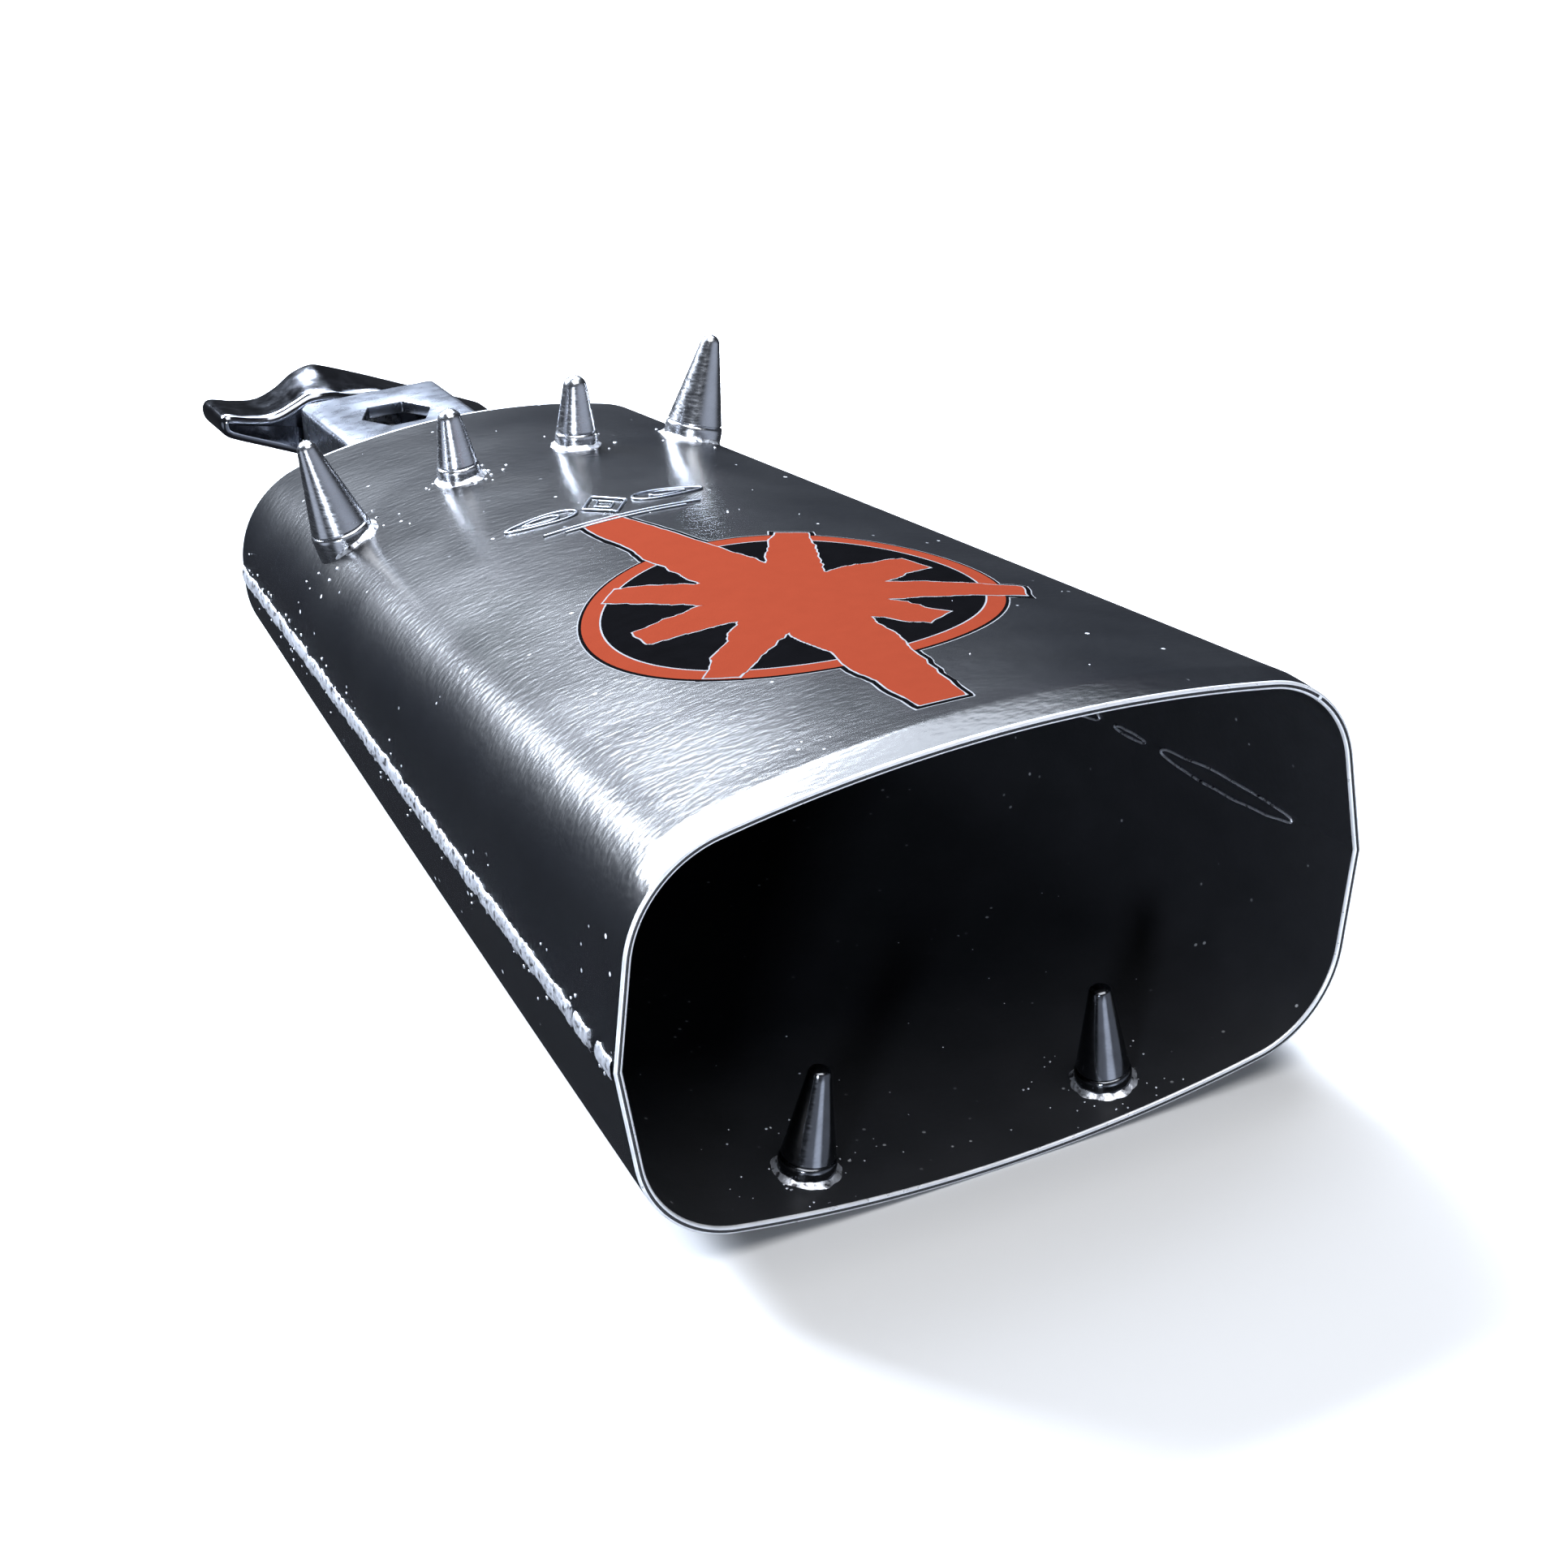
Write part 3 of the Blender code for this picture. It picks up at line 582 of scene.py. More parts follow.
def fillet_ring(name, x, y, foot, upper, depth, seed, node, looks):
    """An irregular silvery fillet round a spike's foot, lying on the sheet."""
    around, across = 96, 9
    inward = -1.0 if depth else 1.0
    rows = []
    for i in range(around):
        turn = 2.0 * pi * i / around
        out = Vector((cos(turn), sin(turn), 0.0))
        wave = abs(sin(turn * 5.0 + seed))
        wide = 1.15 + 0.55 * wobble(out.x * 1.7, out.y * 1.7, seed) + 0.28 * wave
        tall = 1.0 + 0.45 * wobble(out.x * 2.3, out.y * 2.3, seed + 4.0) + 0.2 * wave
        row = []
        for k in range(across):
            t = k / (across - 1)
            reach = foot - 0.5 + (wide + 0.5) * t
            rough = 1.0 + 0.12 * wobble(out.x * 6, out.y * 6, seed + k)
            rise = tall * (1.0 - t) ** 1.5 * rough - 0.05 - 0.15 * t
            flat = Vector((x + out.x * reach, y + out.y * reach))
            _, normal = skin_point(flat.x, flat.y, upper, depth)
            squeeze = max(abs(normal.z), 0.5)
            spot, normal = skin_point(x + out.x * reach * squeeze, flat.y, upper, depth)
            row.append(spot + normal * inward * rise)
        rows.append(row)
    mesh = grid_mesh(name, rows, close_rows=True)
    return piece(name, mesh, looks, "bell", replaces=(node,), sharp=70.0)


def spikes(chrome, shade_chrome, weld):
    for i, (name, x, y, lean, shape) in enumerate(REAR_SPIKES):
        piece("spike_" + name, spike_mesh("spike_" + name, shape, False), [chrome], "bell",
              replaces=("rear_spike_" + name,), local=spike_frame(x, y, lean, True, 0.0))
        fillet_ring("spike_fillet_" + name, x, y, shape["foot"], True, 0.0, 1.0 + 2.3 * i,
                    "rear_spike_weld_" + name, [weld])
    for i, (name, x, y, lean) in enumerate(MOUTH_SPIKES):
        # The spikes inside the mouth get the darker chrome copy, painted shade
        mesh = spike_mesh("inside_spike_" + name, MOUTH_SPIKE, True, MOUTH_SPIKE_BURIED)
        piece("inside_spike_" + name, mesh, [shade_chrome], "bell",
              replaces=("mouth_spike_" + name,), local=spike_frame(x, y, lean, False, WALL))
        fillet_ring("inside_fillet_" + name, x, y, MOUTH_SPIKE["foot"], False, WALL, 12.0 + 3.1 * i,
                    "mouth_spike_weld_" + name, [weld])


# ---------------------------------------------------------------- rod clamp

BRACKET_WIDTH = 30.0
BRACKET_REAR = 250.0
BRACKET_TOP = 14.0
BRACKET_WALL = 2.5
BRACKET_REAR_WALL = 3.0
BRACKET_ROUND = 1.8
HEX_CENTRE = 234.5
HEX_RADIUS = 7.4
BUSH_HOLE_RADIUS = 5.3
WING_FRONT = 252.0
WING_DEPTH = 14.0
CAP_FRONT = 235.2


def solid_box(name, size, centre, bevel, segments, bends_only=False):
    """A box with rounded edges, or with only those along y rounded."""
    bm = bmesh.new()
    bmesh.ops.create_cube(bm, size=1.0)
    bmesh.ops.scale(bm, vec=Vector(size) * MM, verts=bm.verts)
    bmesh.ops.translate(bm, vec=Vector(centre) * MM, verts=bm.verts)
    edges = bm.edges[:]
    if bends_only:
        edges = [e for e in edges if abs(e.verts[0].co.y - e.verts[1].co.y) > 0.5 * size[1] * MM]
    bmesh.ops.bevel(bm, geom=edges, offset=bevel * MM, segments=segments, profile=0.5, affect="EDGES")
    obj = bpy.data.objects.new(name, finish_mesh(name, bm))
    bpy.context.scene.collection.objects.link(obj)
    return obj


def solid_prism(name, radius, depth, sides, matrix):
    bm = bmesh.new()
    bmesh.ops.create_cone(bm, cap_ends=True, segments=sides, radius1=radius * MM, radius2=radius * MM,
                          depth=depth * MM, matrix=matrix)
    obj = bpy.data.objects.new(name, finish_mesh(name, bm))
    bpy.context.scene.collection.objects.link(obj)
    return obj


def cut_and_apply(obj, cutters, edge):
    """Cut the cutters out, round every sharp edge by a small bevel, and return the finished mesh."""
    for cutter in cutters:
        cut = obj.modifiers.new(cutter.name, "BOOLEAN")
        cut.operation = "DIFFERENCE"
        cut.solver = "EXACT"
        cut.object = cutter
    rounding = obj.modifiers.new("edges", "BEVEL")
    rounding.width = edge * MM
    rounding.segments = 3
    rounding.limit_method = "ANGLE"
    rounding.angle_limit = radians(40)
    rounding.use_clamp_overlap = True
    bpy.context.view_layer.update()
    mesh = bpy.data.meshes.new_from_object(obj.evaluated_get(bpy.context.evaluated_depsgraph_get()))
    for leftover in [obj, *cutters]:
        bpy.data.objects.remove(leftover, do_unlink=True)
    return mesh


def bracket(looks):
    """The pressed box bracket: rounded bends, six-sided rod holes and the hole of the bush."""
    front = LENGTH - CROWN_INSET + 0.1
    length = BRACKET_REAR - front
    height = 2.0 * (BRACKET_TOP - SCREW_HEIGHT)
    body = solid_box("bracket_blank", (BRACKET_WIDTH, length, height),
                     (0.0, front + length / 2.0, SCREW_HEIGHT), BRACKET_ROUND, 8, bends_only=True)
    inside_front = front - 5.0
    inside_rear = BRACKET_REAR - BRACKET_REAR_WALL
    inside = solid_box("bracket_hollow",
                       (BRACKET_WIDTH - 2 * BRACKET_WALL, inside_rear - inside_front,
                        height - 2 * BRACKET_WALL),
                       (0.0, (inside_front + inside_rear) / 2.0, SCREW_HEIGHT), 0.6, 3)
    hexagon = solid_prism("rod_hole", HEX_RADIUS, 40.0, 6,
                          Matrix.Translation(Vector((0.0, HEX_CENTRE, SCREW_HEIGHT)) * MM)
                          @ Matrix.Rotation(radians(30), 4, "Z"))
    bush = solid_prism("bush_hole", BUSH_HOLE_RADIUS, 20.0, 64,
                       Matrix.Translation(Vector((0.0, BRACKET_REAR, SCREW_HEIGHT)) * MM)
                       @ Matrix.Rotation(pi / 2, 4, "X"))
    mesh = cut_and_apply(body, [inside, hexagon, bush], 0.35)
    return piece("bracket", mesh, looks, "bell", replaces=("clamp_bracket",), sharp=30.0)


def bracket_bead(looks):
    half_width = BRACKET_WIDTH / 2.0 + 0.2
    half_height = BRACKET_TOP - SCREW_HEIGHT + 0.2
    corner = BRACKET_ROUND
    y = LENGTH - CROWN_INSET + 0.35
    ring = []
    for turn, sx, sz in ((0, 1, 1), (1, -1, 1), (2, -1, -1), (3, 1, -1)):
        for i in range(6):
            angle = pi / 2.0 * (turn + i / 5.0)
            ring.append(Vector((sx * (half_width - corner) + corner * cos(angle), y,
                                SCREW_HEIGHT + sz * (half_height - corner) + corner * sin(angle))))
    return closed_bead("bracket_bead", ring, 1.35, 0.95, 21.0, "bracket_weld", looks)


ALONG_SCREW = Matrix.Rotation(-pi / 2.0, 4, "X")       # a piece's own z becomes the bell's +y


def on_screw(y):
    return Matrix.Translation(Vector((0.0, y, SCREW_HEIGHT)) * MM) @ ALONG_SCREW


def bush(looks):
    bore, body, flange = 3.15, 5.25, 5.8
    length = 1.5 + 0.3 + BRACKET_REAR_WALL
    profile = [(bore, 0.4), (bore + 0.4, 0.0), (flange - 0.3, 0.0), (flange, 0.3), (flange, 1.25),
               (flange - 0.25, 1.5), (body, 1.5), (body, length - 0.3), (body - 0.3, length),
               (bore + 0.4, length), (bore, length - 0.4)]
    rings = turned_rings(profile, 64)
    mesh = grid_mesh("bush", rings, close_rows=True, close_columns=True)
    return piece("bush", mesh, looks, "bell", replaces=("clamp_bush",),
                 local=on_screw(BRACKET_REAR - length), sharp=30.0)


def cap(looks):
    radius, length, bore, floor = 4.75, 4.5, 3.3, 1.7
    profile = [(0.001, floor), (bore, floor), (bore, length - 0.3), (bore + 0.3, length),
               (radius - 0.3, length), (radius, length - 0.3), (radius, 3.1), (radius - 0.35, 2.9),
               (radius - 0.35, 2.5), (radius, 2.3), (radius, 0.7),
               *arc_points((radius - 0.7, 0.7), 0.7, 0.0, -90.0, 5)[1:], (0.001, 0.0)]
    mesh = close_ends("cap", turned_rings(profile, 64))
    return piece("pressure_cap", mesh, looks, "cap", replaces=("clamp_cap",),
                 local=on_screw(CAP_FRONT), sharp=30.0)


def screw(looks):
    """Shank with a helical M6 x 1 thread that fades in at its start, round a plain core."""
    pitch, outer, root = 1.0, 2.98, 2.39
    start, end = CAP_FRONT + 2.0 - WING_FRONT, 9.7
    around = 32
    rows = []
    turns = (end - start) / pitch
    steps = int(turns * around)
    for i in range(steps + 1):
        angle = 2.0 * pi * i / around
        base = start + pitch * i / around
        direction = (cos(angle), -sin(angle))
        fade = min(1.0, (i / around) / 1.2)
        crest = root + (outer - root) * fade
        row = []
        for radius, rise in ((root, 0.0), (crest, 0.40), (crest, 0.53), (root, 0.93)):
            row.append((direction[0] * radius, direction[1] * radius, base + rise * pitch))
        rows.append(row)
    bm = bmesh.new()
    add_grid(bm, rows)
    core = [(0.001, start), (root - 0.5, start), (root + 0.02, start + 0.5), (root + 0.02, end), (0.001, end)]
    add_grid(bm, turned_rings(core, around), close_columns=True)
    mesh = finish_mesh("screw", bm)
    return piece("threaded_screw", mesh, looks, "wing_screw", replaces=("clamp_screw",),
                 local=on_screw(WING_FRONT), sharp=30.0)


# Upper side of the wing: left tip, thumb trough, hump. The lower side is its half turn
WING_TROUGH = ((-30.3, 3.9), (-31.2, 5.4), (-31.2, 7.5), (-29.6, 8.6), (-25.0, 7.5), (-20.0, 6.9),
               (-15.5, 8.4), (-11.5, 11.0), (-7.5, 12.2), (-4.0, 11.4))
WING_FAR_TIP = (29.8, -3.4)
WING_EDGE = 1.8                # rounding of its edges
HUMP_FALL = 3.2                # how much lower the hump is on the side of the bracket


def wing_outline(per_span):
    """Smooth closed outline (x, z) of the wing about the screw's axis, by a Catmull-Rom spline."""
    slope = Vector(WING_FAR_TIP) - Vector(WING_TROUGH[-1])
    straight = [tuple(Vector(WING_TROUGH[-1]) + slope * t) for t in (0.25, 0.5, 0.75, 0.95)]
    upper = [*WING_TROUGH, *straight]
    points = [Vector(p) for p in upper] + [Vector((-x, -z)) for x, z in upper]
    count = len(points)
    outline = []
    for i in range(count):
        before, here, there, after = (points[(i + k) % count] for k in (-1, 0, 1, 2))
        for step in range(per_span):
            t = step / per_span
            outline.append(0.5 * (2 * here + (there - before) * t
                                  + (2 * before - 5 * here + 4 * there - after) * t ** 2
                                  + (3 * here - before - 3 * there + after) * t ** 3))
    return outline


def hump_slope(x, z, along):
    """How far the hump falls away towards the bracket: upper side at the left, its half turn at the right."""
    if abs(z) <= 5.0:
        return 0.0
    side = 1.0 if z > 0.0 else -1.0
    near = max(0.0, 1.0 - abs(x * side + 5.5) / 11.0)
    return side * HUMP_FALL * near * near * (3.0 - 2.0 * near) * (1.0 - along / WING_DEPTH)


def wing(looks):
    outline = wing_outline(6)
    count = len(outline)
    inward = []
    for i in range(count):
        run = (outline[(i + 1) % count] - outline[i - 1]).normalized()
        inward.append(Vector((run.y, -run.x)))
    rings = []
    edge_steps = 6
    for k in range(edge_steps + 1):
        angle = pi / 2 * k / edge_steps
        rings.append((WING_EDGE * (1 - sin(angle)), WING_EDGE * (1 - cos(angle))))
    far = [(inset, WING_DEPTH - along) for inset, along in reversed(rings)]
    rows = []
    for inset, along in rings + [(0.0, WING_DEPTH * t) for t in (0.25, 0.4, 0.55, 0.7)] + far:
        rows.append([(p.x + n.x * inset, WING_FRONT + along,
                      SCREW_HEIGHT + p.y + n.y * inset - hump_slope(p.x, p.y, along))
                     for p, n in zip(outline, inward)])
    mesh = close_ends("wing", rows)
    return piece("wing", mesh, looks, "wing_screw", replaces=("wing_handle",), sharp=50.0)


# ---------------------------------------------------------------- painted emblem

EMBLEM_CENTRE = (0.5, 65.0)
RING_OUTER = 33.5
RING_INNER = 30.6
# Bearing in degrees, length and half width of each ray of the burst
RAYS = ((97.0, 57.0, 7.0), (62.0, 35.0, 5.5), (14.0, 27.0, 6.5), (-22.0, 37.0, 5.5), (-58.0, 26.0, 6.0),
        (-95.0, 54.0, 7.0), (-137.0, 33.0, 5.5), (176.0, 26.0, 6.0), (134.0, 31.0, 5.5))
HUB = 11.0


def burst_outline(grow):
    """A ragged many-rayed burst round the emblem's centre. grow offsets it outwards."""
    cx, cy = EMBLEM_CENTRE
    outline = []
    steps = 900
    for i in range(steps):
        bearing = 360.0 * i / steps
        reach = HUB + grow
        for n, (axis, length, half) in enumerate(RAYS):
            off = radians((bearing - axis + 180.0) % 360.0 - 180.0)
            if abs(off) > radians(50.0):
                continue
            side = 1.0 if off > 0 else -1.0
            far = (length + grow + 0.5 * wobble(n, off * 9.0, 4.0)) / cos(off)
            while far > reach:
                along = far * cos(off) / length
                rough = (wobble(n * 7.3 + along * 6.0, side * 3.1, 2.0)
                         + 0.45 * wobble(along * 21.0, n + side, 7.0))
                if far * abs(sin(off)) < half * (1.15 - 0.62 * along) + rough + grow:
                    reach = far
                    break
                far -= 0.3
        outline.append((cx + reach * cos(radians(bearing)), cy + reach * sin(radians(bearing))))
    return outline


def circle_outline(radius, steps=120):
    cx, cy = EMBLEM_CENTRE
    turns = [2 * pi * i / steps for i in range(steps)]
    return [(cx + radius * cos(turn), cy + radius * sin(turn)) for turn in turns]


def film(name, outline, holes, lift, look):
    """A flat film with an outline (x, y) and holes, laid on the curved top of the bell."""
    bm = bmesh.new()
    for loop in [outline, *holes]:
        verts = [bm.verts.new((x, y, 0.0)) for x, y in loop]
        for i in range(len(verts)):
            bm.edges.new((verts[i], verts[(i + 1) % len(verts)]))
    bmesh.ops.triangle_fill(bm, use_beauty=True, use_dissolve=False, edges=bm.edges[:])
    for k in range(-26, 27):
        bmesh.ops.bisect_plane(bm, geom=bm.verts[:] + bm.edges[:] + bm.faces[:], plane_co=(k * 1.6, 0, 0),
                               plane_no=(1, 0, 0))
    for vert in bm.verts:
        spot, normal = skin_point(vert.co.x, vert.co.y)
        vert.co = (spot + normal * lift) * MM
    mesh = finish_mesh(name, bm, recalc=False)
    return piece(name, mesh, [look], "bell", sharp=80.0)


def emblem(red, black, white):
    film("emblem_edge_line", circle_outline(RING_OUTER + 0.72), [circle_outline(RING_OUTER - 1.0)],
         0.03, white)
    film("emblem_burst_edge_line", burst_outline(1.2), [], 0.035, white)
    film("emblem_ground", circle_outline(RING_OUTER + 0.5), [], 0.06, black)
    film("emblem_burst_shadow", burst_outline(1.0), [], 0.07, black)
    film("emblem_inner_line", circle_outline(RING_INNER), [circle_outline(RING_INNER - 0.28)], 0.09, white)
    film("emblem_ring", circle_outline(RING_OUTER), [circle_outline(RING_INNER)], 0.10, red)
    film("emblem_burst_line", burst_outline(0.28), [], 0.12, white)
    film("emblem_burst", burst_outline(0.0), [], 0.145, red)


# ---------------------------------------------------------------- small marks

def side_point(y, z, side, depth=0.0):
    """Point of the leaning side at (y, z), and the outward normal there."""
    section = bell_section(y, z >= 0.0)
    lean = section[3]
    spot = Vector((side * (section[0] - depth - abs(z) * sin(lean)), y, z))
    return spot, Vector((side, 0.0, 0.0))


def tube(name, path, radius, closed, look):
    """A round bead of constant size along a path of points; for closed loops the ends meet."""
    rows = []
    count = len(path)
    for i, point in enumerate(path):
        after = path[(i + 1) % count] if closed or i + 1 < count else point
        before = path[i - 1] if closed or i else point
        run = (after - before).normalized()
        across = run.cross(Vector((0.37, 0.21, 0.9))).normalized()
        up = run.cross(across)
        rows.append([point + across * (radius * cos(pi * k / 3)) + up * (radius * sin(pi * k / 3))
                     for k in range(6)])
    mesh = grid_mesh(name, rows, close_rows=closed, close_columns=True)
    return piece(name, mesh, [look], "bell", sharp=80.0)


def spatter(weld):
    """Tiny weld drops: thick round the spikes and along the seams, sparse on the top and the inner floor."""
    chance = Random(11)
    spots = []                  # place, direction the drop stands out in, size
    for _, x, y, _, shape in REAR_SPIKES:
        for _ in range(15):
            turn = chance.uniform(0.0, 2.0 * pi)
            reach = shape["foot"] + 1.2 + 5.0 * chance.random() ** 2
            spots.append((*skin_point(x + 0.9 * reach * cos(turn), y + reach * sin(turn)), 0.26))
    for _, x, y, _ in MOUTH_SPIKES:
        for _ in range(26):
            turn = chance.uniform(0.0, 2.0 * pi)
            reach = MOUTH_SPIKE["foot"] + 1.0 + 9.0 * chance.random() ** 2
            spot, normal = skin_point(x + reach * cos(turn), max(1.5, y + reach * sin(turn)), False, WALL)
            spots.append((spot, -normal, 0.20))
    for side in (-1.0, 1.0):
        for _ in range(80):
            z = chance.gauss(0.0, 2.2)
            z += 1.4 if z > 0 else -1.4
            spots.append((*side_point(chance.uniform(1.5, LENGTH - 2.0), z, side), 0.24))
    for _ in range(36):
        spots.append((*skin_point(chance.uniform(-44.0, 44.0), chance.uniform(3.0, LENGTH - 4.0)), 0.13))
    for _ in range(34):
        spot, normal = skin_point(chance.uniform(-50.0, 50.0), chance.uniform(2.0, 60.0), False, WALL)
        spots.append((spot, -normal, 0.16))
    bm = bmesh.new()
    for spot, normal, size in spots:
        size *= chance.uniform(0.6, 1.5)
        turn = normal.to_track_quat("Z", "Y").to_matrix().to_4x4()
        squash = Matrix.Diagonal((size, size * chance.uniform(0.7, 1.3), size * 0.55, 1.0))
        place = Matrix.Diagonal((MM, MM, MM, 1.0)) @ Matrix.Translation(spot) @ turn @ squash
        bmesh.ops.create_icosphere(bm, subdivisions=1, radius=1.0, matrix=place)
    piece("weld_spatter", finish_mesh("weld_spatter", bm), [weld], "bell", sharp=80.0)


# Start, end and half height of each loop, from the mouth inwards
INNER_LOOPS = ((14.0, 46.0, 1.5), (50.0, 58.0, 0.5), (62.0, 92.0, 1.7), (98.0, 122.0, 1.3))


def inner_seam_highlight_loops(weld):
    """Loops of thin bright weld metal inside the right seam: painted highlights, for the light caught on the
    edges of the flat black weld pads there.
    """
    for n, (start, end, tall) in enumerate(INNER_LOOPS):
        loop = []
        steps = 60
        for i in range(steps):
            turn = 2.0 * pi * i / steps
            y = (start + end) / 2.0 - (end - start) / 2.0 * cos(turn)
            z = tall * sin(turn) * (1.0 + 0.35 * wobble(i * 0.21, n, 3.0)) - 0.6
            spot, normal = side_point(y, z, 1.0, WALL)
            loop.append(spot - normal * 0.1)
        tube("inner_seam_highlight_loop_%d" % (n + 1), loop, 0.24, True, weld)


ORNAMENT = (-2.0, 129.5)       # its centre
ORNAMENT_HALF = 19.0


def ornament(metal):
    """A plain embossed ornament behind the emblem: a diamond between two slim leaves, over a double line."""
    # Drawn in satin steel rather than the black paint round it: painted highlight, for the light the raised
    # edges of the embossing catch
    cx, cy = ORNAMENT

    def on_skin(points):
        return [spot + normal * 0.1 for spot, normal in (skin_point(cx + x, cy + y) for x, y in points)]

    corners = [Vector(p) for p in ((4.2, 0.0), (0.0, 5.4), (-4.2, 0.0), (0.0, -5.4))]
    diamond = [corners[k].lerp(corners[(k + 1) % 4], i / 10) for k in range(4) for i in range(10)]
    tube("ornament_diamond", on_skin(diamond), 0.3, True, metal)
    tube("ornament_inner_diamond", on_skin([p * 0.45 for p in diamond]), 0.2, True, metal)
    for side, label in ((-1.0, "left"), (1.0, "right")):
        for scale in (1.0, 0.5):
            leaf = []
            for i in range(48):
                turn = 2.0 * pi * i / 48
                along = 0.5 - 0.5 * cos(turn)
                leaf.append((side * (5.4 + (ORNAMENT_HALF - 5.4) * (0.5 + (along - 0.5) * scale)),
                             3.0 * scale * sin(turn) * (1.0 - 0.55 * along)))
            tube("ornament_leaf_%s_%d" % (label, 10 * scale), on_skin(leaf), 0.26, True, metal)
    for n, (y, half) in enumerate(((-7.4, 15.0), (-8.8, 11.5))):
        line = [(-half + 2.0 * half * i / 40, y) for i in range(41)]
        tube("ornament_line_%d" % (n + 1), on_skin(line), 0.26, False, metal)


# ---------------------------------------------------------------- stage, lights, camera

def area_light(name, place, target, size, power, colour):
    data = bpy.data.lights.new(name, "AREA")
    data.shape = "RECTANGLE"
    data.size, data.size_y = size
    data.energy = power
    data.color = colour
    obj = bpy.data.objects.new(name, data)
    bpy.context.scene.collection.objects.link(obj)
    obj.location = place
    obj.rotation_euler = (Vector(target) - Vector(place)).to_track_quat("-Z", "Y").to_euler()


WORLD_STRENGTH = 0.05
# Azimuth, elevation, inner and outer half angle in degrees, strength: patches of the world that the metal
# mirrors, low down and mostly on the camera's side. The floor is hidden from glossy rays.
GLOWS = ((176.0, -18.0, 7.0, 20.0, 2.4), (150.0, -14.0, 20.0, 62.0, 0.55),
         (-150.0, -22.0, 8.0, 26.0, 0.65), (-88.0, -12.0, 8.0, 24.0, 0.7))


def stage():
    bm = bmesh.new()
    bmesh.ops.create_grid(bm, x_segments=1, y_segments=1, size=6.0)
    mesh = bpy.data.meshes.new("floor")
    bm.to_mesh(mesh)
    bm.free()
    look = Look("floor", (0.60, 0.603, 0.61), 0.75)
    look.colours(look.noise(900.0, 2.0), (0.59, 0.593, 0.60), (0.61, 0.613, 0.62))
    mesh.materials.append(look.material)
    floor = bpy.data.objects.new("floor", mesh)
    bpy.context.scene.collection.objects.link(floor)
    floor.visible_glossy = False

    world = bpy.data.worlds.new("studio")
    bpy.context.scene.world = world
    world.use_nodes = True
    nodes, links = world.node_tree.nodes, world.node_tree.links
    background = nodes["Background"]
    background.inputs["Color"].default_value = (0.78, 0.85, 1.0, 1.0)
    direction = nodes.new("ShaderNodeTexCoord").outputs["Generated"]
    total = None
    for azimuth, elevation, inner, outer, strength in GLOWS:
        turn, lift = radians(azimuth), radians(elevation)
        dot = nodes.new("ShaderNodeVectorMath")
        dot.operation = "DOT_PRODUCT"
        dot.inputs[1].default_value = (sin(turn) * cos(lift), cos(turn) * cos(lift), sin(lift))
        links.new(direction, dot.inputs[0])
        fall = nodes.new("ShaderNodeMapRange")
        fall.interpolation_type = "SMOOTHSTEP"
        for socket, value in (("From Min", cos(radians(outer))), ("From Max", cos(radians(inner))),
                              ("To Min", 0.0), ("To Max", strength)):
            fall.inputs[socket].default_value = value
        links.new(dot.outputs["Value"], fall.inputs["Value"])
        add = nodes.new("ShaderNodeMath")
        add.inputs[1].default_value = WORLD_STRENGTH
        links.new(fall.outputs["Result"], add.inputs[0])
        if total:
            links.new(total, add.inputs[1])
        total = add.outputs["Value"]
    links.new(total, background.inputs["Strength"])


def softbox(name, azimuth, elevation, distance, width, height, radiance, colour=(0.82, 0.89, 1.0)):
    """A rectangular light aimed at the bell. azimuth is counted from +Y towards +X."""
    turn, lift = radians(azimuth), radians(elevation)
    place = distance * Vector((sin(turn) * cos(lift), cos(turn) * cos(lift), sin(lift)))
    area_light(name, place, (0.0, 0.0, 0.03), (width, height), radiance * pi * width * height, colour)


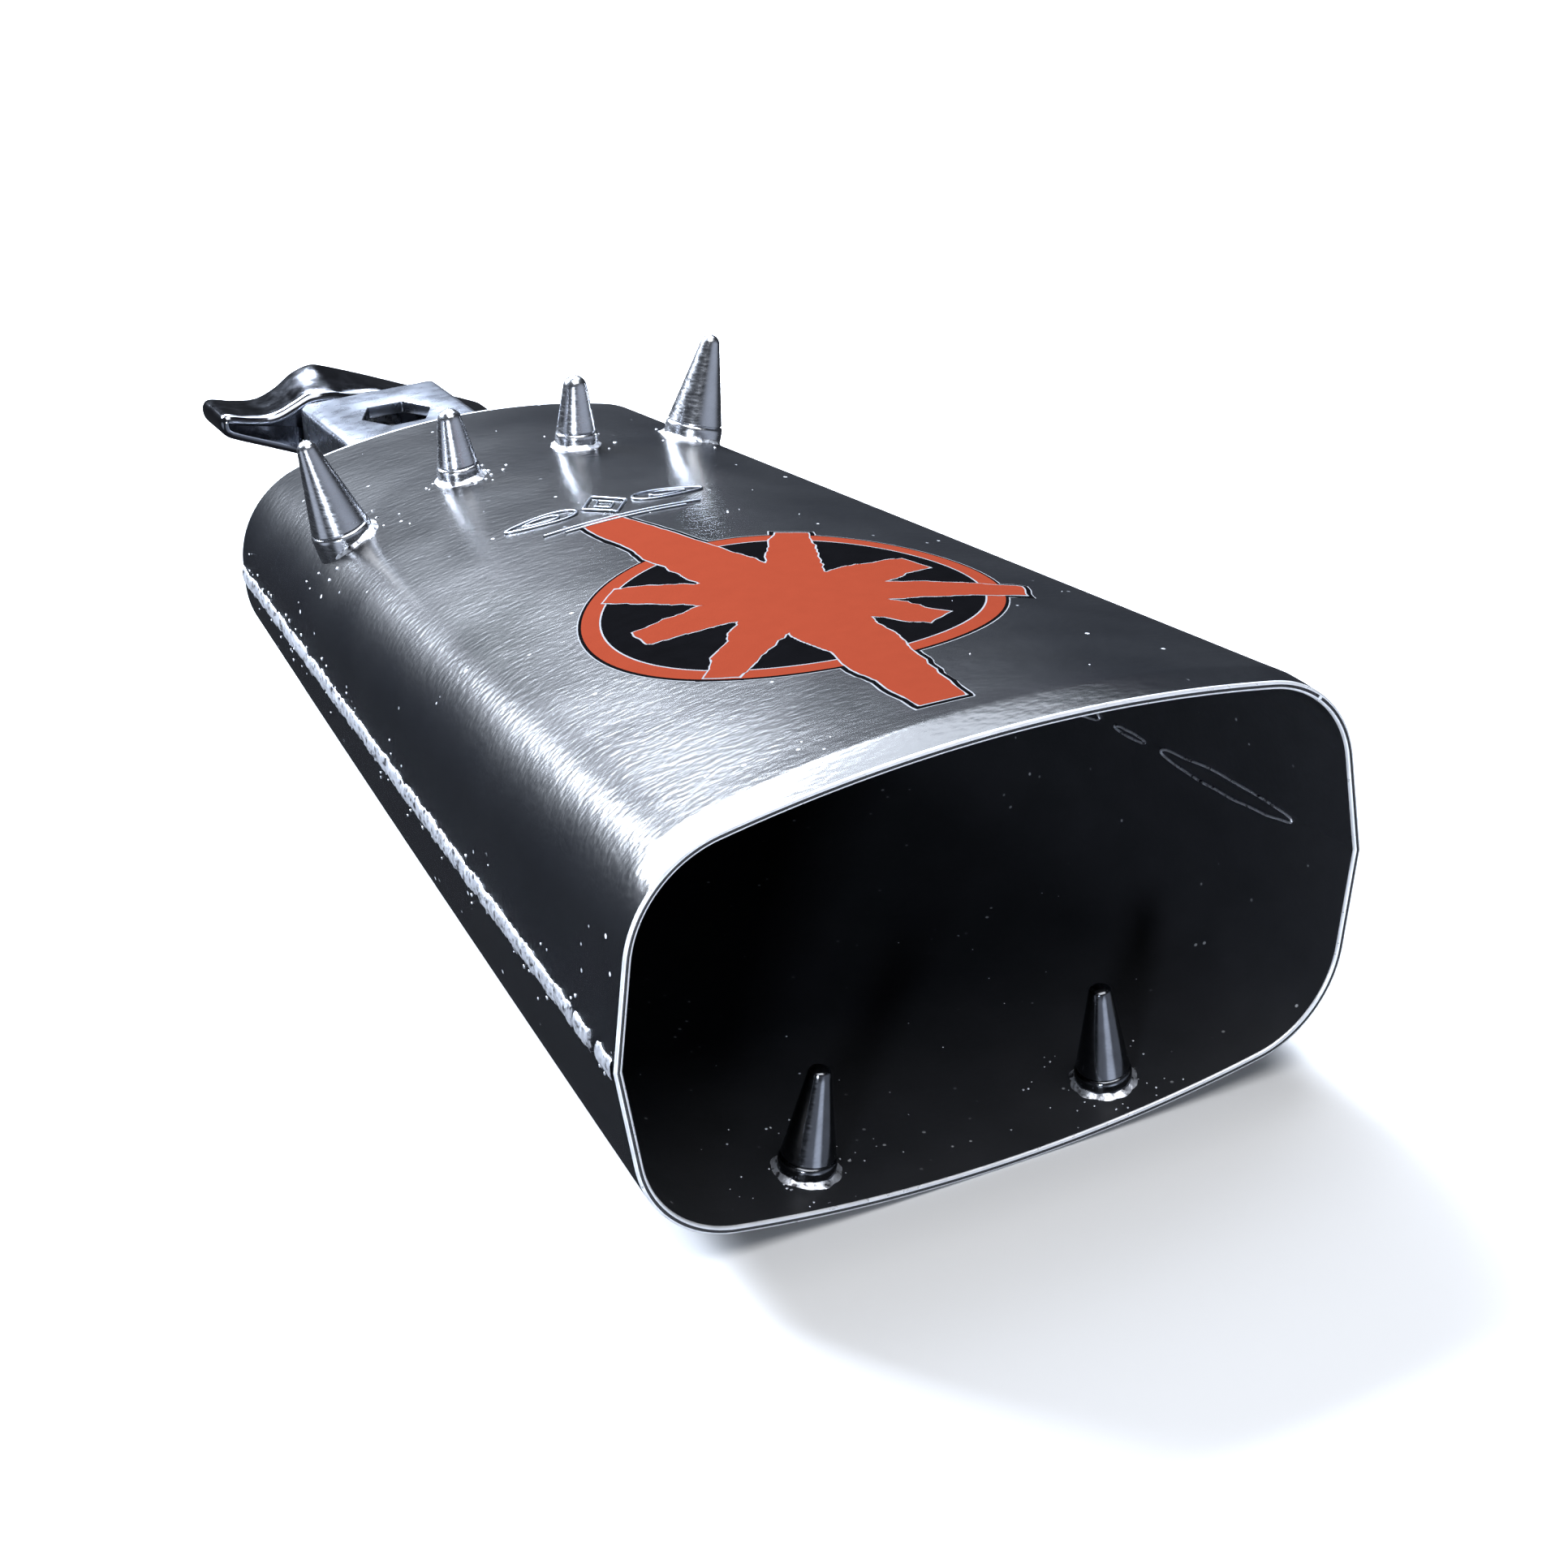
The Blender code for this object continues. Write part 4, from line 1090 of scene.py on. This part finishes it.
def lights():
    softbox("key", -30.0, 32.5, 1.45, 0.56, 0.50, 100.0)
    softbox("fade_1", -7.0, 43.5, 1.45, 0.46, 0.38, 105.0)
    softbox("fade_2", 8.0, 43.5, 1.45, 0.20, 0.38, 135.0)
    softbox("fade_3", 16.0, 43.0, 1.45, 0.20, 0.36, 62.0)
    softbox("fade_4", 24.0, 42.0, 1.45, 0.20, 0.34, 15.0)
    softbox("fade_5", 32.0, 40.0, 1.45, 0.20, 0.32, 3.0)
    softbox("lip", 48.0, 60.0, 1.5, 0.70, 0.70, 9.0)
    softbox("mouth", -140.0, 13.0, 1.3, 0.16, 0.16, 120.0)
    softbox("overhead", 180.0, 78.0, 2.0, 1.6, 1.6, 5.0, (1.0, 1.0, 1.0))


def camera():
    azimuth, elevation = radians(-28.39), radians(29.59)
    data = bpy.data.cameras.new("camera")
    data.sensor_width = 36.0
    data.lens = 71.25
    data.clip_start = 0.01
    obj = bpy.data.objects.new("camera", data)
    bpy.context.scene.collection.objects.link(obj)
    back = Vector((sin(azimuth) * cos(elevation), -cos(azimuth) * cos(elevation), sin(elevation)))
    obj.location = (-0.2096, MOUTH_Y * MM - 0.3188, 0.2809)
    obj.rotation_euler = back.to_track_quat("Z", "Y").to_euler()
    bpy.context.scene.camera = obj
    bpy.context.scene.view_settings.view_transform = "Standard"


# ---------------------------------------------------------------- the scene

camera()
stage()
lights()

# edge is the bright metal of the sheet's edges, a painted highlight
paint, inside, edge = black_paint(), inner_paint(), edge_highlight()
weld, chrome, steel, zinc, nickel = weld_metal(), dark_chrome(), satin_steel(), zinc_plate(), black_nickel()
red = decal("emblem_red", (0.096, 0.0165, 0.0080), (0.086, 0.0145, 0.0070), 0.42, 0.55)
black = decal("emblem_black", (0.0012, 0.0012, 0.0014), (0.0020, 0.0020, 0.0024), 0.42, 0.55)
white = decal("emblem_white", (0.15, 0.155, 0.165), (0.09, 0.094, 0.10), 0.40, 0.55)

shell("upper_shell", True, "top_shell", [paint, edge, inside])
shell("lower_shell", False, "bottom_shell", [paint, edge, inside])
crown_plate([paint])
ring_bead("end_plate_bead", LENGTH - CROWN_INSET + 0.25, WALL + 0.35, "crown_weld", [weld])
seam_bead("left_seam_bead", -1.0, "seam_weld_left", [weld])
seam_bead("right_seam_bead", 1.0, "seam_weld_right", [weld])
spikes(chrome, chrome_darkened_for_shade(), weld)
bracket([steel])
bracket_bead([weld])
bush([zinc])
cap([zinc])
screw([zinc])
wing([nickel])
emblem(red, black, white)
spatter(weld)
inner_seam_highlight_loops(weld)
ornament(steel)
